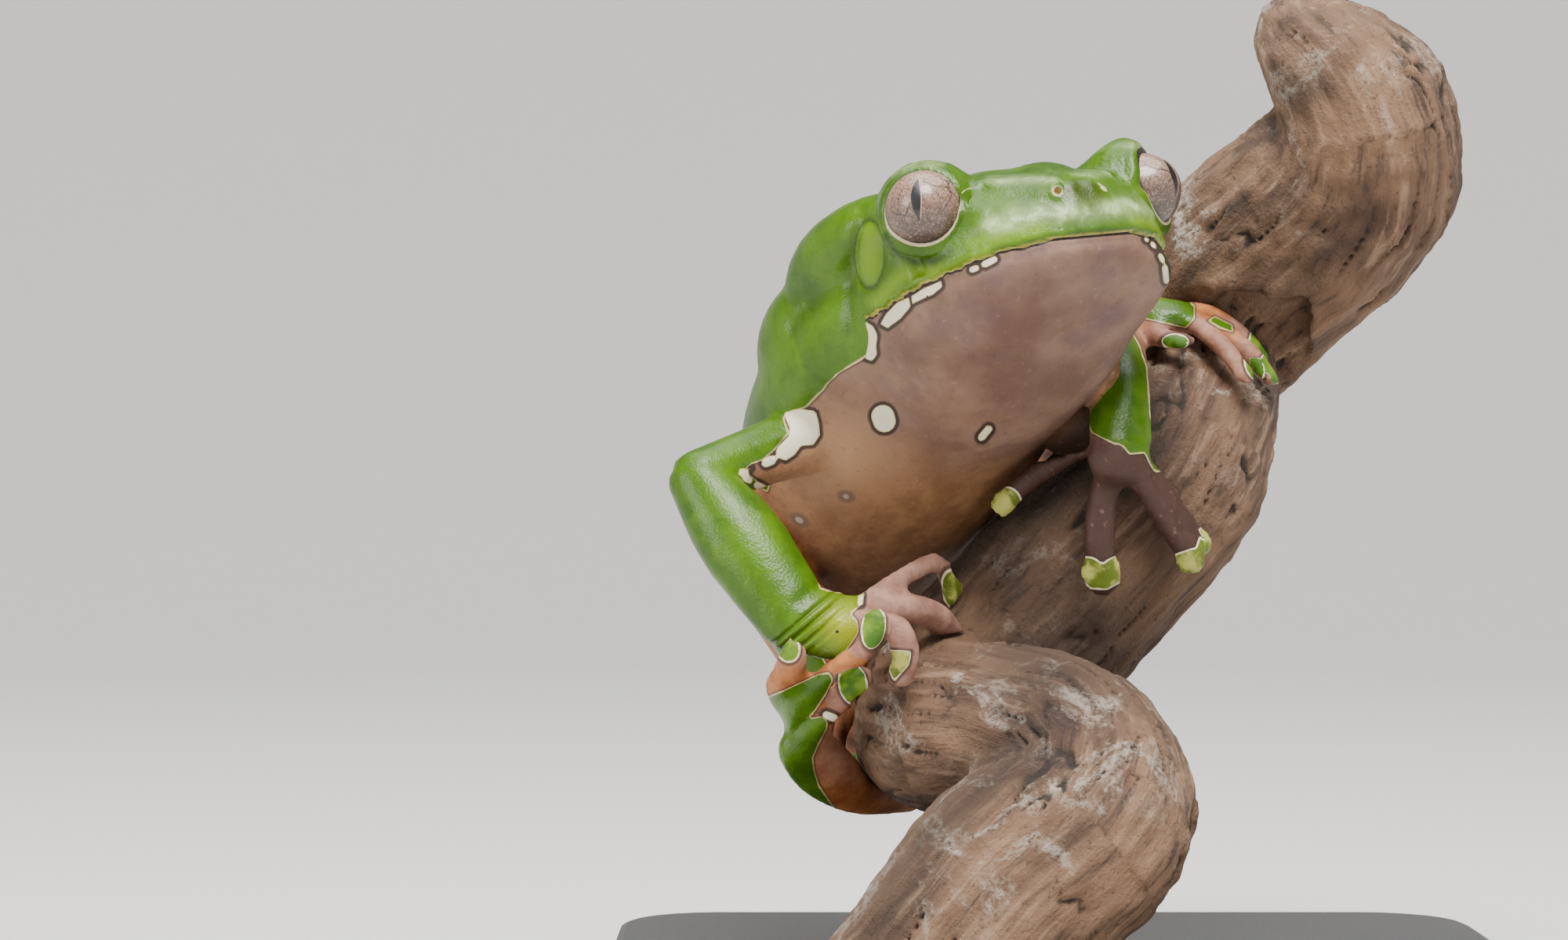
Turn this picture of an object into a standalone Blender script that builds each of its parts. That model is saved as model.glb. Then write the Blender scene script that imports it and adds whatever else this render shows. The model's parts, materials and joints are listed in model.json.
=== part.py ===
"""Giant monkey frog gripping a twisted liana, life size, on a plain display stand.

Metres, +Z up. The origin is the middle of the stand's underside. Landmarks are given in
millimetres from it: x to the viewer's right, y away from the viewer, z up.
"""

import math

import bmesh
import bpy
from mathutils import Matrix, Vector, noise

MM = 0.001
GAP = 0.3
FLESH_VOXEL = 0.62
DIGIT_VOXEL = 0.5
LIANA_VOXEL = 0.9

# The head is set on its own axes: forward, left and up from the middle of the jaw's hinge.
HEAD_ORIGIN = (-9.7, -10.0, 90.2)
HEAD_YAW = 25.5
HEAD_PITCH = 20.0
HEAD_ROLL = 6.5
JAW_HALF_WIDTH = 19.4
JAW_LENGTH = 28.6
JAW_FULLNESS = 2.35
NECK_TAPER = 0.16
LIP_OVERHANG = 0.35
MOUTH_SWEEP = 87.0
EYE_RADIUS = 5.0
EYE_FORWARD = 17.4
EYE_OUT = 16.4
EYE_UP = 13.1
EYE_TURN = 38.0
EYE_LIFT = 0.08
BROW_BACK = 3.6
BROW_LIFT = 0.9
BROW_RADII = (6.2, 7.1, 7.1)
LID_PLACE = 1.8
LID_RADIUS = 6.0
NOSTRIL = (28.6, 3.7, 9.6)
TYMPANUM = (4.5, 17.4, 10.0)
NECK_PLACE = (-9.0, 0.0, 0.0)

# Heights above the hinge, evenly spaced to the tip of the jaw.
# Crown and throat start at the nape, and the lips at the hinge.
NAPE_END = -14.0
CROWN_HEIGHTS = (17.0, 18.5, 19.6, 20.2, 20.4, 20.2, 19.4, 17.6, 14.6, 9.0)
LIP_HEIGHTS = (5.8, 5.2, 4.9, 4.7, 4.6, 4.1)
THROAT_HEIGHTS = (-13.0, -12.5, -12.0, -11.0, -9.6, -7.6, -5.4, -3.4, -1.2, 2.0)

# The swollen ridge over each eardrum: forward, out and up in the head, half width, half thickness.
GLAND_STATIONS = (
    (8.0, 13.5, 15.0, 5.0, 4.6), (0.0, 15.0, 16.6, 6.2, 5.4),
    (-10.0, 16.0, 15.6, 6.4, 5.4), (-22.0, 15.0, 8.0, 4.6, 3.8),
)

# The trunk runs from the nape back and down to the vent.
TRUNK_YAW = 16.0
TRUNK_PITCH = 43.0
NAPE = (-15.4, -5.5, 92.5)
TRUNK_LENGTH = 66.0
TRUNK_BOW = 3.0
TRUNK_SWAY = 3.6
TRUNK_WIDTHS = (19.0, 21.0, 21.3, 20.4, 18.8, 17.2, 15.4, 12.6, 8.8)
TRUNK_DEPTHS = (12.5, 14.4, 15.4, 15.6, 15.0, 13.8, 12.0, 9.6, 6.6)

HUMP_BACK = 9.0
HUMP_RIGHT = 14.2
HUMP_LEFT = 9.5
HUMP_UP = 6.0
HUMP_RADII = (12.0, 9.8, 9.0)

SHOULDER_RIGHT = (-25.0, 5.0, 82.0)
ELBOW_RIGHT = (-49.3, -13.0, 72.8)
WRIST_RIGHT = (-36.6, -21.5, 55.2)
PALM_RIGHT = (-29.6, -22.6, 53.6)
SHOULDER_LEFT = (1.5, 3.0, 80.5)
ELBOW_LEFT = (7.8, 11.5, 91.5)
WRIST_LEFT = (6.1, -9.0, 77.6)
PALM_LEFT = (5.8, -10.0, 74.8)
FOREARM_RIGHT = (-43.6, -16.8, 65.0)
FOREARM_LEFT = (6.8, -2.5, 85.5)
# Half width and half thickness at shoulder, upper arm, elbow, forearm, wrist and palm.
ARM_SIZES_RIGHT = ((7.4, 6.8), (4.7, 4.5), (4.0, 3.8), (5.8, 4.5), (5.0, 3.4), (4.8, 2.3))
ARM_SIZES_LEFT = ((6.0, 5.8), (4.2, 4.0), (3.5, 3.5), (3.9, 3.8), (4.3, 2.7), (4.4, 2.3))
HIP_RIGHT = (-31.0, 42.0, 49.0)
KNEE_RIGHT = (-46.0, 9.5, 70.4)
ANKLE_RIGHT = (-22.0, 7.0, 30.6)
HIP_LEFT = (-17.0, 44.0, 48.0)
KNEE_LEFT = (6.5, 58.0, 78.0)
ANKLE_LEFT = (1.5, 26.0, 101.0)
HIP_SIZE = (8.2, 8.2)
THIGH_SIZE = (7.4, 7.0)
KNEE_SIZE = (4.8, 4.8)
CALF_SIZE = (5.2, 5.0)
ANKLE_SIZE = (3.3, 3.2)
SOLE_WIDTHS = (3.4, 4.2, 3.8)
SOLE_RIGHT = ((-27.5, -4.0, 31.0), (-32.6, -12.4, 34.8), (-35.6, -17.8, 38.8))
SOLE_LEFT = ((8.0, 18.5, 97.6), (12.5, 13.0, 95.5), (16.0, 11.6, 94.8))

# Each digit: its joints from palm or sole to tip, half width, disc radius, and the way the disc faces.
DIGITS = {
    "hand_right": (
        (((-28.6, -20.5, 56.6), (-23.5, -16.5, 59.6), (-18.0, -8.0, 61.8), (-15.9, -4.4, 58.2)),
         1.3, 2.6, (0.75, -0.65, 0.1)),
        (((-27.5, -20.4, 55.4), (-22.5, -17.6, 56.2), (-18.6, -13.4, 55.0), (-16.6, -8.6, 53.0)),
         2.1, 2.5, (-0.3, -0.4, 0.85)),
        (((-28.0, -23.0, 54.6), (-24.0, -25.0, 54.2), (-22.6, -25.6, 51.0), (-23.0, -25.2, 48.8)),
         1.8, 2.1, (0.1, -0.9, 0.3)),
        (((-30.0, -20.5, 52.6), (-30.2, -15.5, 50.6), (-29.3, -11.0, 47.4), (-29.2, -8.5, 44.8)),
         1.6, 2.1, (-0.9, 0.1, 0.3)),
    ),
    "hand_left": (
        (((4.6, -8.0, 77.2), (0.8, -5.6, 76.8), (-4.4, -2.2, 73.4), (-8.0, -0.6, 70.2)),
         1.6, 2.3, (-0.5, -0.8, 0.3)),
        (((5.0, -10.2, 76.0), (3.9, -8.2, 69.8), (3.4, -8.6, 64.4), (3.7, -8.2, 61.4)),
         1.95, 3.1, (-0.1, -1.0, 0.05)),
        (((6.6, -10.0, 75.6), (10.6, -8.8, 70.0), (13.8, -7.6, 65.2), (15.2, -6.8, 63.0)),
         1.6, 2.5, (0.3, -0.95, 0.0)),
        (((8.0, -8.0, 76.2), (11.6, -7.0, 71.8), (14.6, -5.4, 67.8), (17.0, -4.2, 64.8)),
         1.4, 2.0, (0.5, -0.85, 0.1)),
    ),
    "foot_right": (
        (((-34.6, -16.0, 40.0), (-38.2, -19.5, 45.2), (-37.6, -24.2, 47.6), (-36.8, -27.2, 50.4)),
         2.1, 2.3, (-0.35, -0.9, 0.1)),
        (((-30.5, -8.0, 34.5), (-31.2, -4.4, 38.0), (-29.6, -1.6, 41.6), (-27.6, -0.6, 44.0)),
         1.6, 2.2, (-0.9, 0.1, 0.4)),
        (((-33.0, -12.5, 37.0), (-32.2, -7.4, 42.6), (-29.2, -3.2, 46.8), (-27.4, -2.4, 49.4)),
         1.6, 2.2, (-0.9, 0.0, 0.3)),
        (((-35.4, -18.4, 38.8), (-34.2, -21.6, 41.4), (-31.2, -22.8, 44.6), (-29.4, -23.4, 46.8)),
         1.6, 2.5, (-0.35, -0.9, 0.1)),
        (((-36.6, -18.4, 40.2), (-36.2, -22.6, 43.8), (-32.0, -26.4, 48.4), (-28.0, -28.4, 51.2),
          (-26.8, -28.4, 53.6)),
         1.4, 2.5, (-0.2, -0.95, 0.1)),
    ),
    "foot_left": (
        (((11.5, 12.2, 94.8), (12.4, 8.6, 92.6), (13.4, 6.2, 91.8), (15.2, 5.6, 91.6)),
         1.5, 2.0, (0.1, -0.5, 0.85)),
        (((11.0, 13.5, 95.4), (7.5, 17.5, 93.5), (4.6, 17.5, 90.0), (3.0, 17.0, 87.0)),
         1.5, 2.0, (-0.8, -0.3, 0.5)),
        (((14.0, 12.6, 95.0), (18.6, 8.6, 93.4), (21.6, 5.4, 90.4), (23.6, 4.2, 87.6)),
         1.5, 2.1, (0.4, -0.6, 0.7)),
        (((16.0, 12.0, 95.0), (21.0, 10.6, 93.4), (25.6, 9.4, 89.8), (27.4, 9.0, 87.6)),
         1.6, 2.3, (0.75, -0.4, 0.5)),
        (((15.6, 14.0, 96.0), (20.4, 15.2, 95.6), (24.6, 15.8, 93.0), (26.8, 15.6, 91.0)),
         1.6, 2.2, (0.75, -0.2, 0.6)),
    ),
}

LIANA_ROUTE = (
    (-29.5, -34.0, -3.0), (-21.5, -34.0, 7.0), (-9.4, -34.0, 21.8), (-0.4, -32.5, 29.4),
    (1.2, -28.0, 34.2), (-2.5, -22.5, 38.4), (-9.5, -18.5, 40.3), (-16.0, -13.0, 40.2),
    (-16.2, -3.0, 41.5), (-10.5, 5.5, 47.5), (-2.0, 9.5, 55.5), (11.0, 9.5, 70.0),
    (15.0, 13.5, 77.0), (17.5, 23.0, 82.5), (20.0, 31.0, 91.0), (27.5, 27.0, 101.5),
    (36.5, 20.5, 109.5), (41.5, 14.0, 116.0), (41.5, 9.0, 122.5), (38.5, 10.0, 127.5),
    (35.5, 14.5, 131.5), (33.5, 20.0, 136.5),
)
LIANA_RADII = (
    14.0, 14.2, 14.2, 13.3, 12.3, 11.7, 11.6, 11.6, 12.4, 13.4, 13.8,
    14.0, 14.0, 13.8, 14.6, 15.7, 15.7, 14.6, 12.4, 10.5, 8.8, 6.8,
)
LIANA_SIDES = 20
LIANA_SPLITS = (0.371, 0.638)
LIANA_NAMES = ("perch_lower", "perch_middle", "perch_upper")
LIANA_FOOT = 13.0

BASE_SIZE = (124.0, 112.0, 8.0)
BASE_CORNER = 14.0
BASE_EDGE = 1.2
ROD_RADIUS = 2.5
ROD_FRONT = (-16.5, -34.0)
ROD_REAR = (4.7, 8.0)
ROD_REAR_TOP = 58.0

DISC_THICKNESS = 0.95

SKIN_GREEN = (0.13, 0.42, 0.02)
IRIS_BRONZE = (0.28, 0.16, 0.11)
BARK_TAN = (0.42, 0.28, 0.17)
STAND_BLACK = (0.03, 0.03, 0.03)
ROD_STEEL = (0.55, 0.55, 0.56)
SHARP_ANGLE = 40.0

CORE_TRIANGLES = 3700
ARM_TRIANGLES = 260
LEG_TRIANGLES = 280
HAND_TRIANGLES = 840
FOOT_TRIANGLES = 1000
LIANA_TRIANGLES = (1000, 760, 1000)


def point(p):
    return Vector(p) * MM


def clear_scene():
    for thing in list(bpy.data.objects):
        bpy.data.objects.remove(thing, do_unlink=True)


def finish(thing, colour, roughness, metallic=0.0):
    """Gives the thing a material of its own, and shades it smooth between its edges."""
    made = bpy.data.materials.new(thing.name + "_finish")
    made.use_nodes = True
    shader = made.node_tree.nodes["Principled BSDF"]
    shader.inputs["Base Color"].default_value = (*colour, 1.0)
    shader.inputs["Roughness"].default_value = roughness
    shader.inputs["Metallic"].default_value = metallic
    thing.data.materials.clear()
    thing.data.materials.append(made)
    thing.data.shade_smooth()
    thing.data.set_sharp_from_angle(angle=math.radians(SHARP_ANGLE))


def new_object(name, verts, faces):
    mesh = bpy.data.meshes.new(name)
    mesh.from_pydata([tuple(v) for v in verts], [], faces)
    mesh.update()
    made = bpy.data.objects.new(name, mesh)
    bpy.context.scene.collection.objects.link(made)
    return made


def face_outwards(thing):
    work = bmesh.new()
    work.from_mesh(thing.data)
    bmesh.ops.recalc_face_normals(work, faces=work.faces)
    work.to_mesh(thing.data)
    work.free()


def skin_rings(name, rings):
    """One closed surface through rings of points, with a point at each end."""
    sides = len(rings[0])
    verts = [v for ring in rings for v in ring]
    faces = []
    for k in range(len(rings) - 1):
        for j in range(sides):
            a = k * sides + j
            b = k * sides + (j + 1) % sides
            faces.append((a, b, b + sides, a + sides))
    for ring, start in ((rings[0], 0), (rings[-1], (len(rings) - 1) * sides)):
        verts.append(sum(ring, Vector()) / sides)
        tip = len(verts) - 1
        for j in range(sides):
            faces.append((start + j, start + (j + 1) % sides, tip))
    made = new_object(name, verts, faces)
    face_outwards(made)
    return made


def along(values, t):
    """Smooth value at t in 0..1 through evenly spaced values (Catmull-Rom)."""
    last = len(values) - 1
    where = min(max(t, 0.0), 1.0) * last
    k = min(int(where), last - 1)
    u = where - k
    a, b = values[max(k - 1, 0)], values[k]
    c, d = values[k + 1], values[min(k + 2, last)]
    return 0.5 * ((b * 2) + (c - a) * u + (a * 2 - b * 5 + c * 4 - d) * u**2
                  + (b * 3 - a - c * 3 + d) * u**3)


def limb(name, stations, side, count=18, sides=16):
    """A rounded limb. A station is (point in mm, half width, half thickness); width lies along side."""
    path = [Vector(s[0]) for s in stations]
    wide = [s[1] for s in stations]
    deep = [s[2] for s in stations]
    rings = []
    cap = 3
    steps = [-1 + k / cap for k in range(cap)] + [k / count for k in range(count + 1)]
    steps += [1 + (k + 1) / cap for k in range(cap)]
    for s in steps:
        t = min(max(s, 0.0), 1.0)
        ahead = along(path, min(t + 0.02, 1.0)) - along(path, max(t - 0.02, 0.0))
        ahead.normalize()
        across = (Vector(side) - ahead * ahead.dot(Vector(side))).normalized()
        up = ahead.cross(across)
        a, b = along(wide, t), along(deep, t)
        centre = along(path, t)
        over = s - t
        if over:
            turn = min(abs(over), 1.0) * math.radians(78)
            centre = centre + ahead * math.copysign(math.sin(turn) * (a + b) * 0.45, over)
            a, b = a * math.cos(turn), b * math.cos(turn)
        rings.append([
            (centre + across * a * math.cos(w) + up * b * math.sin(w)) * MM
            for w in (math.tau * j / sides for j in range(sides))
        ])
    return skin_rings(name, rings)


def ball(name, centre, radii, axes=None, segments=20, rows=12):
    """An ellipsoid at centre (mm), with its radii (mm) along axes, a 3x3 matrix of columns."""
    work = bmesh.new()
    bmesh.ops.create_uvsphere(work, u_segments=segments, v_segments=rows, radius=1.0)
    turn = (axes or Matrix.Identity(3)).to_4x4()
    size = Matrix.Diagonal((*[r * MM for r in radii], 1.0))
    bmesh.ops.transform(work, matrix=Matrix.Translation(point(centre)) @ turn @ size, verts=work.verts)
    mesh = bpy.data.meshes.new(name)
    work.to_mesh(mesh)
    work.free()
    made = bpy.data.objects.new(name, mesh)
    bpy.context.scene.collection.objects.link(made)
    return made


def apply_modifiers(thing):
    """Writes what the modifiers make into the mesh, and leaves none."""
    graph = bpy.context.evaluated_depsgraph_get()
    graph.update()
    made = bpy.data.meshes.new_from_object(thing.evaluated_get(graph))
    thing.modifiers.clear()
    old = thing.data
    thing.data = made
    bpy.data.meshes.remove(old)


def union(name, things, voxel):
    """One closed skin round the things, which are removed."""
    group = bpy.data.collections.new(name)
    bpy.context.scene.collection.children.link(group)
    base = things[0]
    for other in things[1:]:
        bpy.context.scene.collection.objects.unlink(other)
        group.objects.link(other)
    if len(things) > 1:
        join = base.modifiers.new("join", "BOOLEAN")
        join.operation = "UNION"
        join.operand_type = "COLLECTION"
        join.collection = group
        join.solver = "EXACT"
        join.use_self = False
        apply_modifiers(base)
    for other in things[1:]:
        bpy.data.objects.remove(other, do_unlink=True)
    bpy.data.collections.remove(group)
    base.name = name
    if voxel:
        skin = base.modifiers.new("skin", "REMESH")
        skin.mode = "VOXEL"
        skin.voxel_size = voxel * MM
        apply_modifiers(base)
    return base


def soften(thing, factor, repeat):
    smooth = thing.modifiers.new("soften", "SMOOTH")
    smooth.factor = factor
    smooth.iterations = repeat
    apply_modifiers(thing)


def thin_out(thing, triangles):
    """Brings the mesh down to about this many triangles."""
    cut = thing.modifiers.new("triangles", "TRIANGULATE")
    apply_modifiers(thing)
    count = len(thing.data.polygons)
    if count > triangles:
        cut = thing.modifiers.new("fewer", "DECIMATE")
        cut.ratio = triangles / count
        apply_modifiers(thing)


def grown(thing, distance):
    """A copy of the thing with its surface moved out by distance (mm)."""
    copy = thing.copy()
    copy.data = thing.data.copy()
    copy.name = thing.name + "_grown"
    bpy.context.scene.collection.objects.link(copy)
    push = copy.modifiers.new("push", "DISPLACE")
    push.mid_level = 0.0
    push.strength = distance * MM
    apply_modifiers(copy)
    return copy


def largest_piece(thing):
    """Keeps only the largest closed surface of the mesh."""
    work = bmesh.new()
    work.from_mesh(thing.data)
    bmesh.ops.remove_doubles(work, verts=work.verts, dist=1e-7)
    left = set(work.verts)
    pieces = []
    while left:
        stack = [next(iter(left))]
        seen = set(stack)
        while stack:
            for edge in stack.pop().link_edges:
                for v in edge.verts:
                    if v not in seen:
                        seen.add(v)
                        stack.append(v)
        left -= seen
        pieces.append(seen)
    pieces.sort(key=len, reverse=True)
    for piece in pieces[1:]:
        bmesh.ops.delete(work, geom=list(piece), context="VERTS")
    work.to_mesh(thing.data)
    work.free()


def bounds(thing):
    spots = [v.co for v in thing.data.vertices]
    return [(min(p[k] for p in spots), max(p[k] for p in spots)) for k in range(3)]


def boxes_meet(a, b):
    return all(p[0] < q[1] and q[0] < p[1] for p, q in zip(bounds(a), bounds(b)))


def carve(thing, cutters):
    """Takes away from the thing each cutter that comes near it, one after another."""
    for cutter in cutters:
        if not boxes_meet(thing, cutter):
            continue
        cut = thing.modifiers.new("cut", "BOOLEAN")
        cut.operation = "DIFFERENCE"
        cut.object = cutter
        cut.solver = "EXACT"
        apply_modifiers(thing)
    largest_piece(thing)


def half_space(name, at, towards, size=90.0):
    """A box whose near face passes through at (mm), filling the side that towards points to."""
    work = bmesh.new()
    bmesh.ops.create_cube(work, size=1.0)
    turn = Vector(towards).to_track_quat("Z", "Y").to_matrix().to_4x4()
    size_matrix = Matrix.Diagonal((size * MM, size * MM, size * MM, 1.0))
    shift = Matrix.Translation(Vector((0, 0, size * MM / 2)))
    bmesh.ops.transform(work, matrix=Matrix.Translation(point(at)) @ turn @ shift @ size_matrix,
                        verts=work.verts)
    mesh = bpy.data.meshes.new(name)
    work.to_mesh(mesh)
    work.free()
    made = bpy.data.objects.new(name, mesh)
    bpy.context.scene.collection.objects.link(made)
    return made


def keep_side(thing, at, towards, size=90.0):
    """Keeps what lies on the side of the plane that towards points to, less half the gap."""
    away = -Vector(towards).normalized()
    box = half_space("side_cutter", Vector(at) - away * GAP / 2, away, size)
    carve(thing, [box])
    bpy.data.objects.remove(box, do_unlink=True)


def duplicate(thing, name):
    copy = thing.copy()
    copy.data = thing.data.copy()
    copy.name = name
    bpy.context.scene.collection.objects.link(copy)
    return copy


def head_axes():
    """Columns forward, left and up of the head, from its yaw, pitch and roll."""
    yaw, pitch, roll = (math.radians(a) for a in (HEAD_YAW, HEAD_PITCH, HEAD_ROLL))
    forward = Vector((math.cos(pitch) * math.sin(yaw), -math.cos(pitch) * math.cos(yaw), math.sin(pitch)))
    level = Vector((math.cos(yaw), math.sin(yaw), 0.0))
    up = -forward.cross(level) if forward.cross(level).z < 0 else forward.cross(level)
    left = level * math.cos(roll) + up * math.sin(roll)
    return forward, left, forward.cross(left)


FORWARD, LEFT, UP = head_axes()


def in_head(f, l, u):
    """Millimetre place of a point given on the head's own axes."""
    return Vector(HEAD_ORIGIN) + FORWARD * f + LEFT * l + UP * u


def trunk_axes():
    yaw, pitch = math.radians(TRUNK_YAW), math.radians(TRUNK_PITCH)
    forward = Vector((math.cos(pitch) * math.sin(yaw), -math.cos(pitch) * math.cos(yaw), math.sin(pitch)))
    left = Vector((math.cos(yaw), math.sin(yaw), 0.0))
    return forward, left, forward.cross(left)


def half_width_of_jaw(f):
    """Half width of the mouth's outline at a distance f in front of its hinge."""
    if f <= 0:
        return JAW_HALF_WIDTH + f * NECK_TAPER
    rest = 1.0 - (min(f, JAW_LENGTH) / JAW_LENGTH) ** JAW_FULLNESS
    return JAW_HALF_WIDTH * rest ** (1.0 / JAW_FULLNESS)


def jaw_level(f):
    """Height of the lip line above the hinge at f."""
    return along(LIP_HEIGHTS, f / JAW_LENGTH)


def eye_centre(side):
    return in_head(EYE_FORWARD, side * EYE_OUT, EYE_UP)


def eye_axis(side):
    """The way an eye looks: side is -1 for the right eye and 1 for the left."""
    turn = math.radians(EYE_TURN)
    return (FORWARD * math.cos(turn) + LEFT * side * math.sin(turn) + UP * EYE_LIFT).normalized()


def head_ring(f, sides=40):
    """Cross-section of the head at f: skull above the lip line, jaw and throat below it."""
    wide = half_width_of_jaw(f)
    lip = jaw_level(f)
    t = (f - NAPE_END) / (JAW_LENGTH - NAPE_END)
    crown = along(CROWN_HEIGHTS, t)
    sag = along(THROAT_HEIGHTS, t)
    ring = []
    for j in range(sides):
        c, s = math.cos(math.tau * j / sides), math.sin(math.tau * j / sides)
        if s >= 0:
            l = math.copysign(abs(c) ** 0.8, c) * wide * (1.0 - 0.16 * s * s)
            u = lip + (crown - lip) * s ** 0.78
        else:
            l = math.copysign(abs(c) ** 0.75, c) * (wide - LIP_OVERHANG)
            u = lip + (sag - lip) * abs(s) ** 1.1
        ring.append(in_head(f, l, u) * MM)
    return ring


def brow(side):
    """The bulge that carries an eye, round the eye's own axis."""
    axis = eye_axis(side)
    out = UP.cross(axis).normalized()
    turn = Matrix((axis, out, axis.cross(out))).transposed()
    return ball("brow", eye_centre(side) - axis * BROW_BACK + UP * BROW_LIFT, BROW_RADII, turn)


def make_core():
    """Head, neck and trunk as one body."""
    steps = 24
    reach = JAW_LENGTH - LIP_OVERHANG - NAPE_END
    stops = [NAPE_END + reach * math.sin(math.pi / 2 * k / steps) for k in range(steps + 1)]
    pieces = [skin_rings("skull", [head_ring(f) for f in stops])]
    frame = Matrix((FORWARD, LEFT, UP)).transposed()
    pieces.append(ball("snout", in_head(21.6, 0, 8.4), (7.6, 8.6, 5.2), frame))
    pieces.append(ball("nape", in_head(-8.0, 0, 11.0), (15.0, 17.0, 8.6), frame))
    pieces.append(ball("forehead", in_head(12.0, 0, 11.5), (12.0, 14.0, 8.0), frame))
    for side in (-1, 1):
        pieces.append(brow(side))
        pieces.append(ball("cheek", in_head(9.0, side * 12.6, 6.2), (11.0, 6.4, 7.0), frame))
        ridge = [(in_head(f, side * l, u), w, h) for f, l, u, w, h in GLAND_STATIONS]
        pieces.append(limb("gland", ridge, LEFT, count=12, sides=16))
    forward, left, up = trunk_axes()
    stations = []
    for k, (w, d) in enumerate(zip(TRUNK_WIDTHS, TRUNK_DEPTHS)):
        t = k / (len(TRUNK_WIDTHS) - 1)
        swell = math.sin(math.pi * t)
        bend = up * TRUNK_BOW * swell - left * TRUNK_SWAY * swell
        centre = Vector(NAPE) - forward * TRUNK_LENGTH * t + bend
        stations.append((centre, w, d))
    pieces.append(limb("trunk", stations, left, count=22, sides=32))
    for out in (-HUMP_RIGHT, HUMP_LEFT):
        hump = Vector(NAPE) - forward * HUMP_BACK + left * out + up * HUMP_UP
        pieces.append(ball("hump", hump, HUMP_RADII, Matrix((forward, left, up)).transposed()))
    core = union("core", pieces, FLESH_VOXEL)
    soften(core, 0.5, 12)
    return core


def mouth_line():
    """A thin curved band along the lips, which cuts the line of the mouth."""
    rings = []
    steps = 36
    for k in range(steps + 1):
        a = math.radians(MOUTH_SWEEP) * (2 * k / steps - 1)
        f = JAW_LENGTH * abs(math.cos(a)) ** (2 / JAW_FULLNESS)
        l = math.copysign(JAW_HALF_WIDTH * abs(math.sin(a)) ** (2 / JAW_FULLNESS), math.sin(a))
        out = Vector((f - 8.0, l, 0)).normalized()
        u = jaw_level(f) - 0.4
        rings.append([
            in_head(f + out.x * d, l + out.y * d, u + h) * MM
            for d, h in ((-1.3, -0.25), (2.5, -0.35), (2.5, 0.35), (-1.3, 0.25))
        ])
    return skin_rings("mouth_line", rings)


def lids(side):
    """The cup of skin round an eye, open in front of the plane of the lids."""
    cup = ball("lids", eye_centre(side), (LID_RADIUS,) * 3, None, 20, 12)
    keep_side(cup, eye_centre(side) + eye_axis(side) * LID_PLACE, -eye_axis(side), 30.0)
    return cup


def finish_head(head):
    """Lids, eardrums, eye sockets, nostrils and the line of the mouth."""
    extras = [head]
    for side in (-1, 1):
        extras.append(lids(side))
        drum = in_head(TYMPANUM[0], side * TYMPANUM[1], TYMPANUM[2])
        frame = Matrix((FORWARD, LEFT, UP)).transposed()
        extras.append(ball("eardrum", drum, (2.0, 1.2, 3.8), frame, 12, 6))
    head = union("head", extras, 0)
    cutters = [mouth_line()]
    for side in (-1, 1):
        cutters.append(ball("socket", eye_centre(side), (EYE_RADIUS + GAP,) * 3, None, 20, 12))
        hole = in_head(NOSTRIL[0] - 0.4, side * NOSTRIL[1], NOSTRIL[2])
        cutters.append(ball("nostril", hole, (1.4, 0.7, 0.7), None, 10, 6))
    carve(head, cutters)
    for cutter in cutters:
        bpy.data.objects.remove(cutter, do_unlink=True)
    return head


def make_eye(name, side):
    """An eyeball, set in its socket with the gap all round."""
    return ball(name, eye_centre(side), (EYE_RADIUS,) * 3, None, 20, 12)


def split_between(thing, at, towards, far_name, near_name):
    """Parts the thing at a plane. The side that towards points to takes far_name."""
    far = duplicate(thing, far_name)
    keep_side(far, at, towards)
    keep_side(thing, at, -Vector(towards))
    thing.name = near_name
    return far


def end_at(thing, at, towards, size=22.0):
    """Takes off what lies past a plane at a joint, within a box of this size."""
    towards = Vector(towards).normalized()
    box = half_space("end_cutter", Vector(at) - towards * GAP / 2, towards, size)
    carve(thing, [box])
    bpy.data.objects.remove(box, do_unlink=True)


def joint_plane(before, joint, after):
    """Direction from the limb before a joint to the limb after it, square to the plane between them."""
    back = (Vector(before) - Vector(joint)).normalized()
    on = (Vector(after) - Vector(joint)).normalized()
    return (on - back).normalized()


def digit(name, places, width, disc, facing):
    """A finger or toe through its joints, ending in a flat round disc."""
    last = len(places) - 1
    stations = []
    for k, p in enumerate(places):
        knuckle = 1.1 if 0 < k < last else 0.95
        stations.append((p, width * knuckle, width * knuckle * 0.85))
    ahead = (Vector(places[-1]) - Vector(places[-2])).normalized()
    up = Vector(facing)
    up = (up - ahead * ahead.dot(up)).normalized()
    side = ahead.cross(up)
    frame = Matrix((ahead, -side, up)).transposed()
    centre = Vector(places[-1]) + ahead * disc * 0.35
    return [limb(name, stations, side, count=12, sides=12),
            ball(name + "_disc", centre, (disc * 1.05, disc, DISC_THICKNESS), frame, 16, 10)]


def make_extremity(name, root, triangles):
    """A hand or foot: its root pieces, and a digit for each entry of its list."""
    pieces = root
    for k, (places, width, disc, facing) in enumerate(DIGITS[name]):
        pieces += digit(f"{name}_digit_{k}", places, width, disc, facing)
    made = union(name, pieces, DIGIT_VOXEL)
    soften(made, 0.5, 3)
    thin_out(made, triangles)
    return made


def liana_place(t):
    route = [Vector(p) for p in LIANA_ROUTE]
    centre = along(route, t)
    ahead = (along(route, min(t + 0.004, 1.0)) - along(route, max(t - 0.004, 0.0))).normalized()
    return centre, ahead


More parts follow.
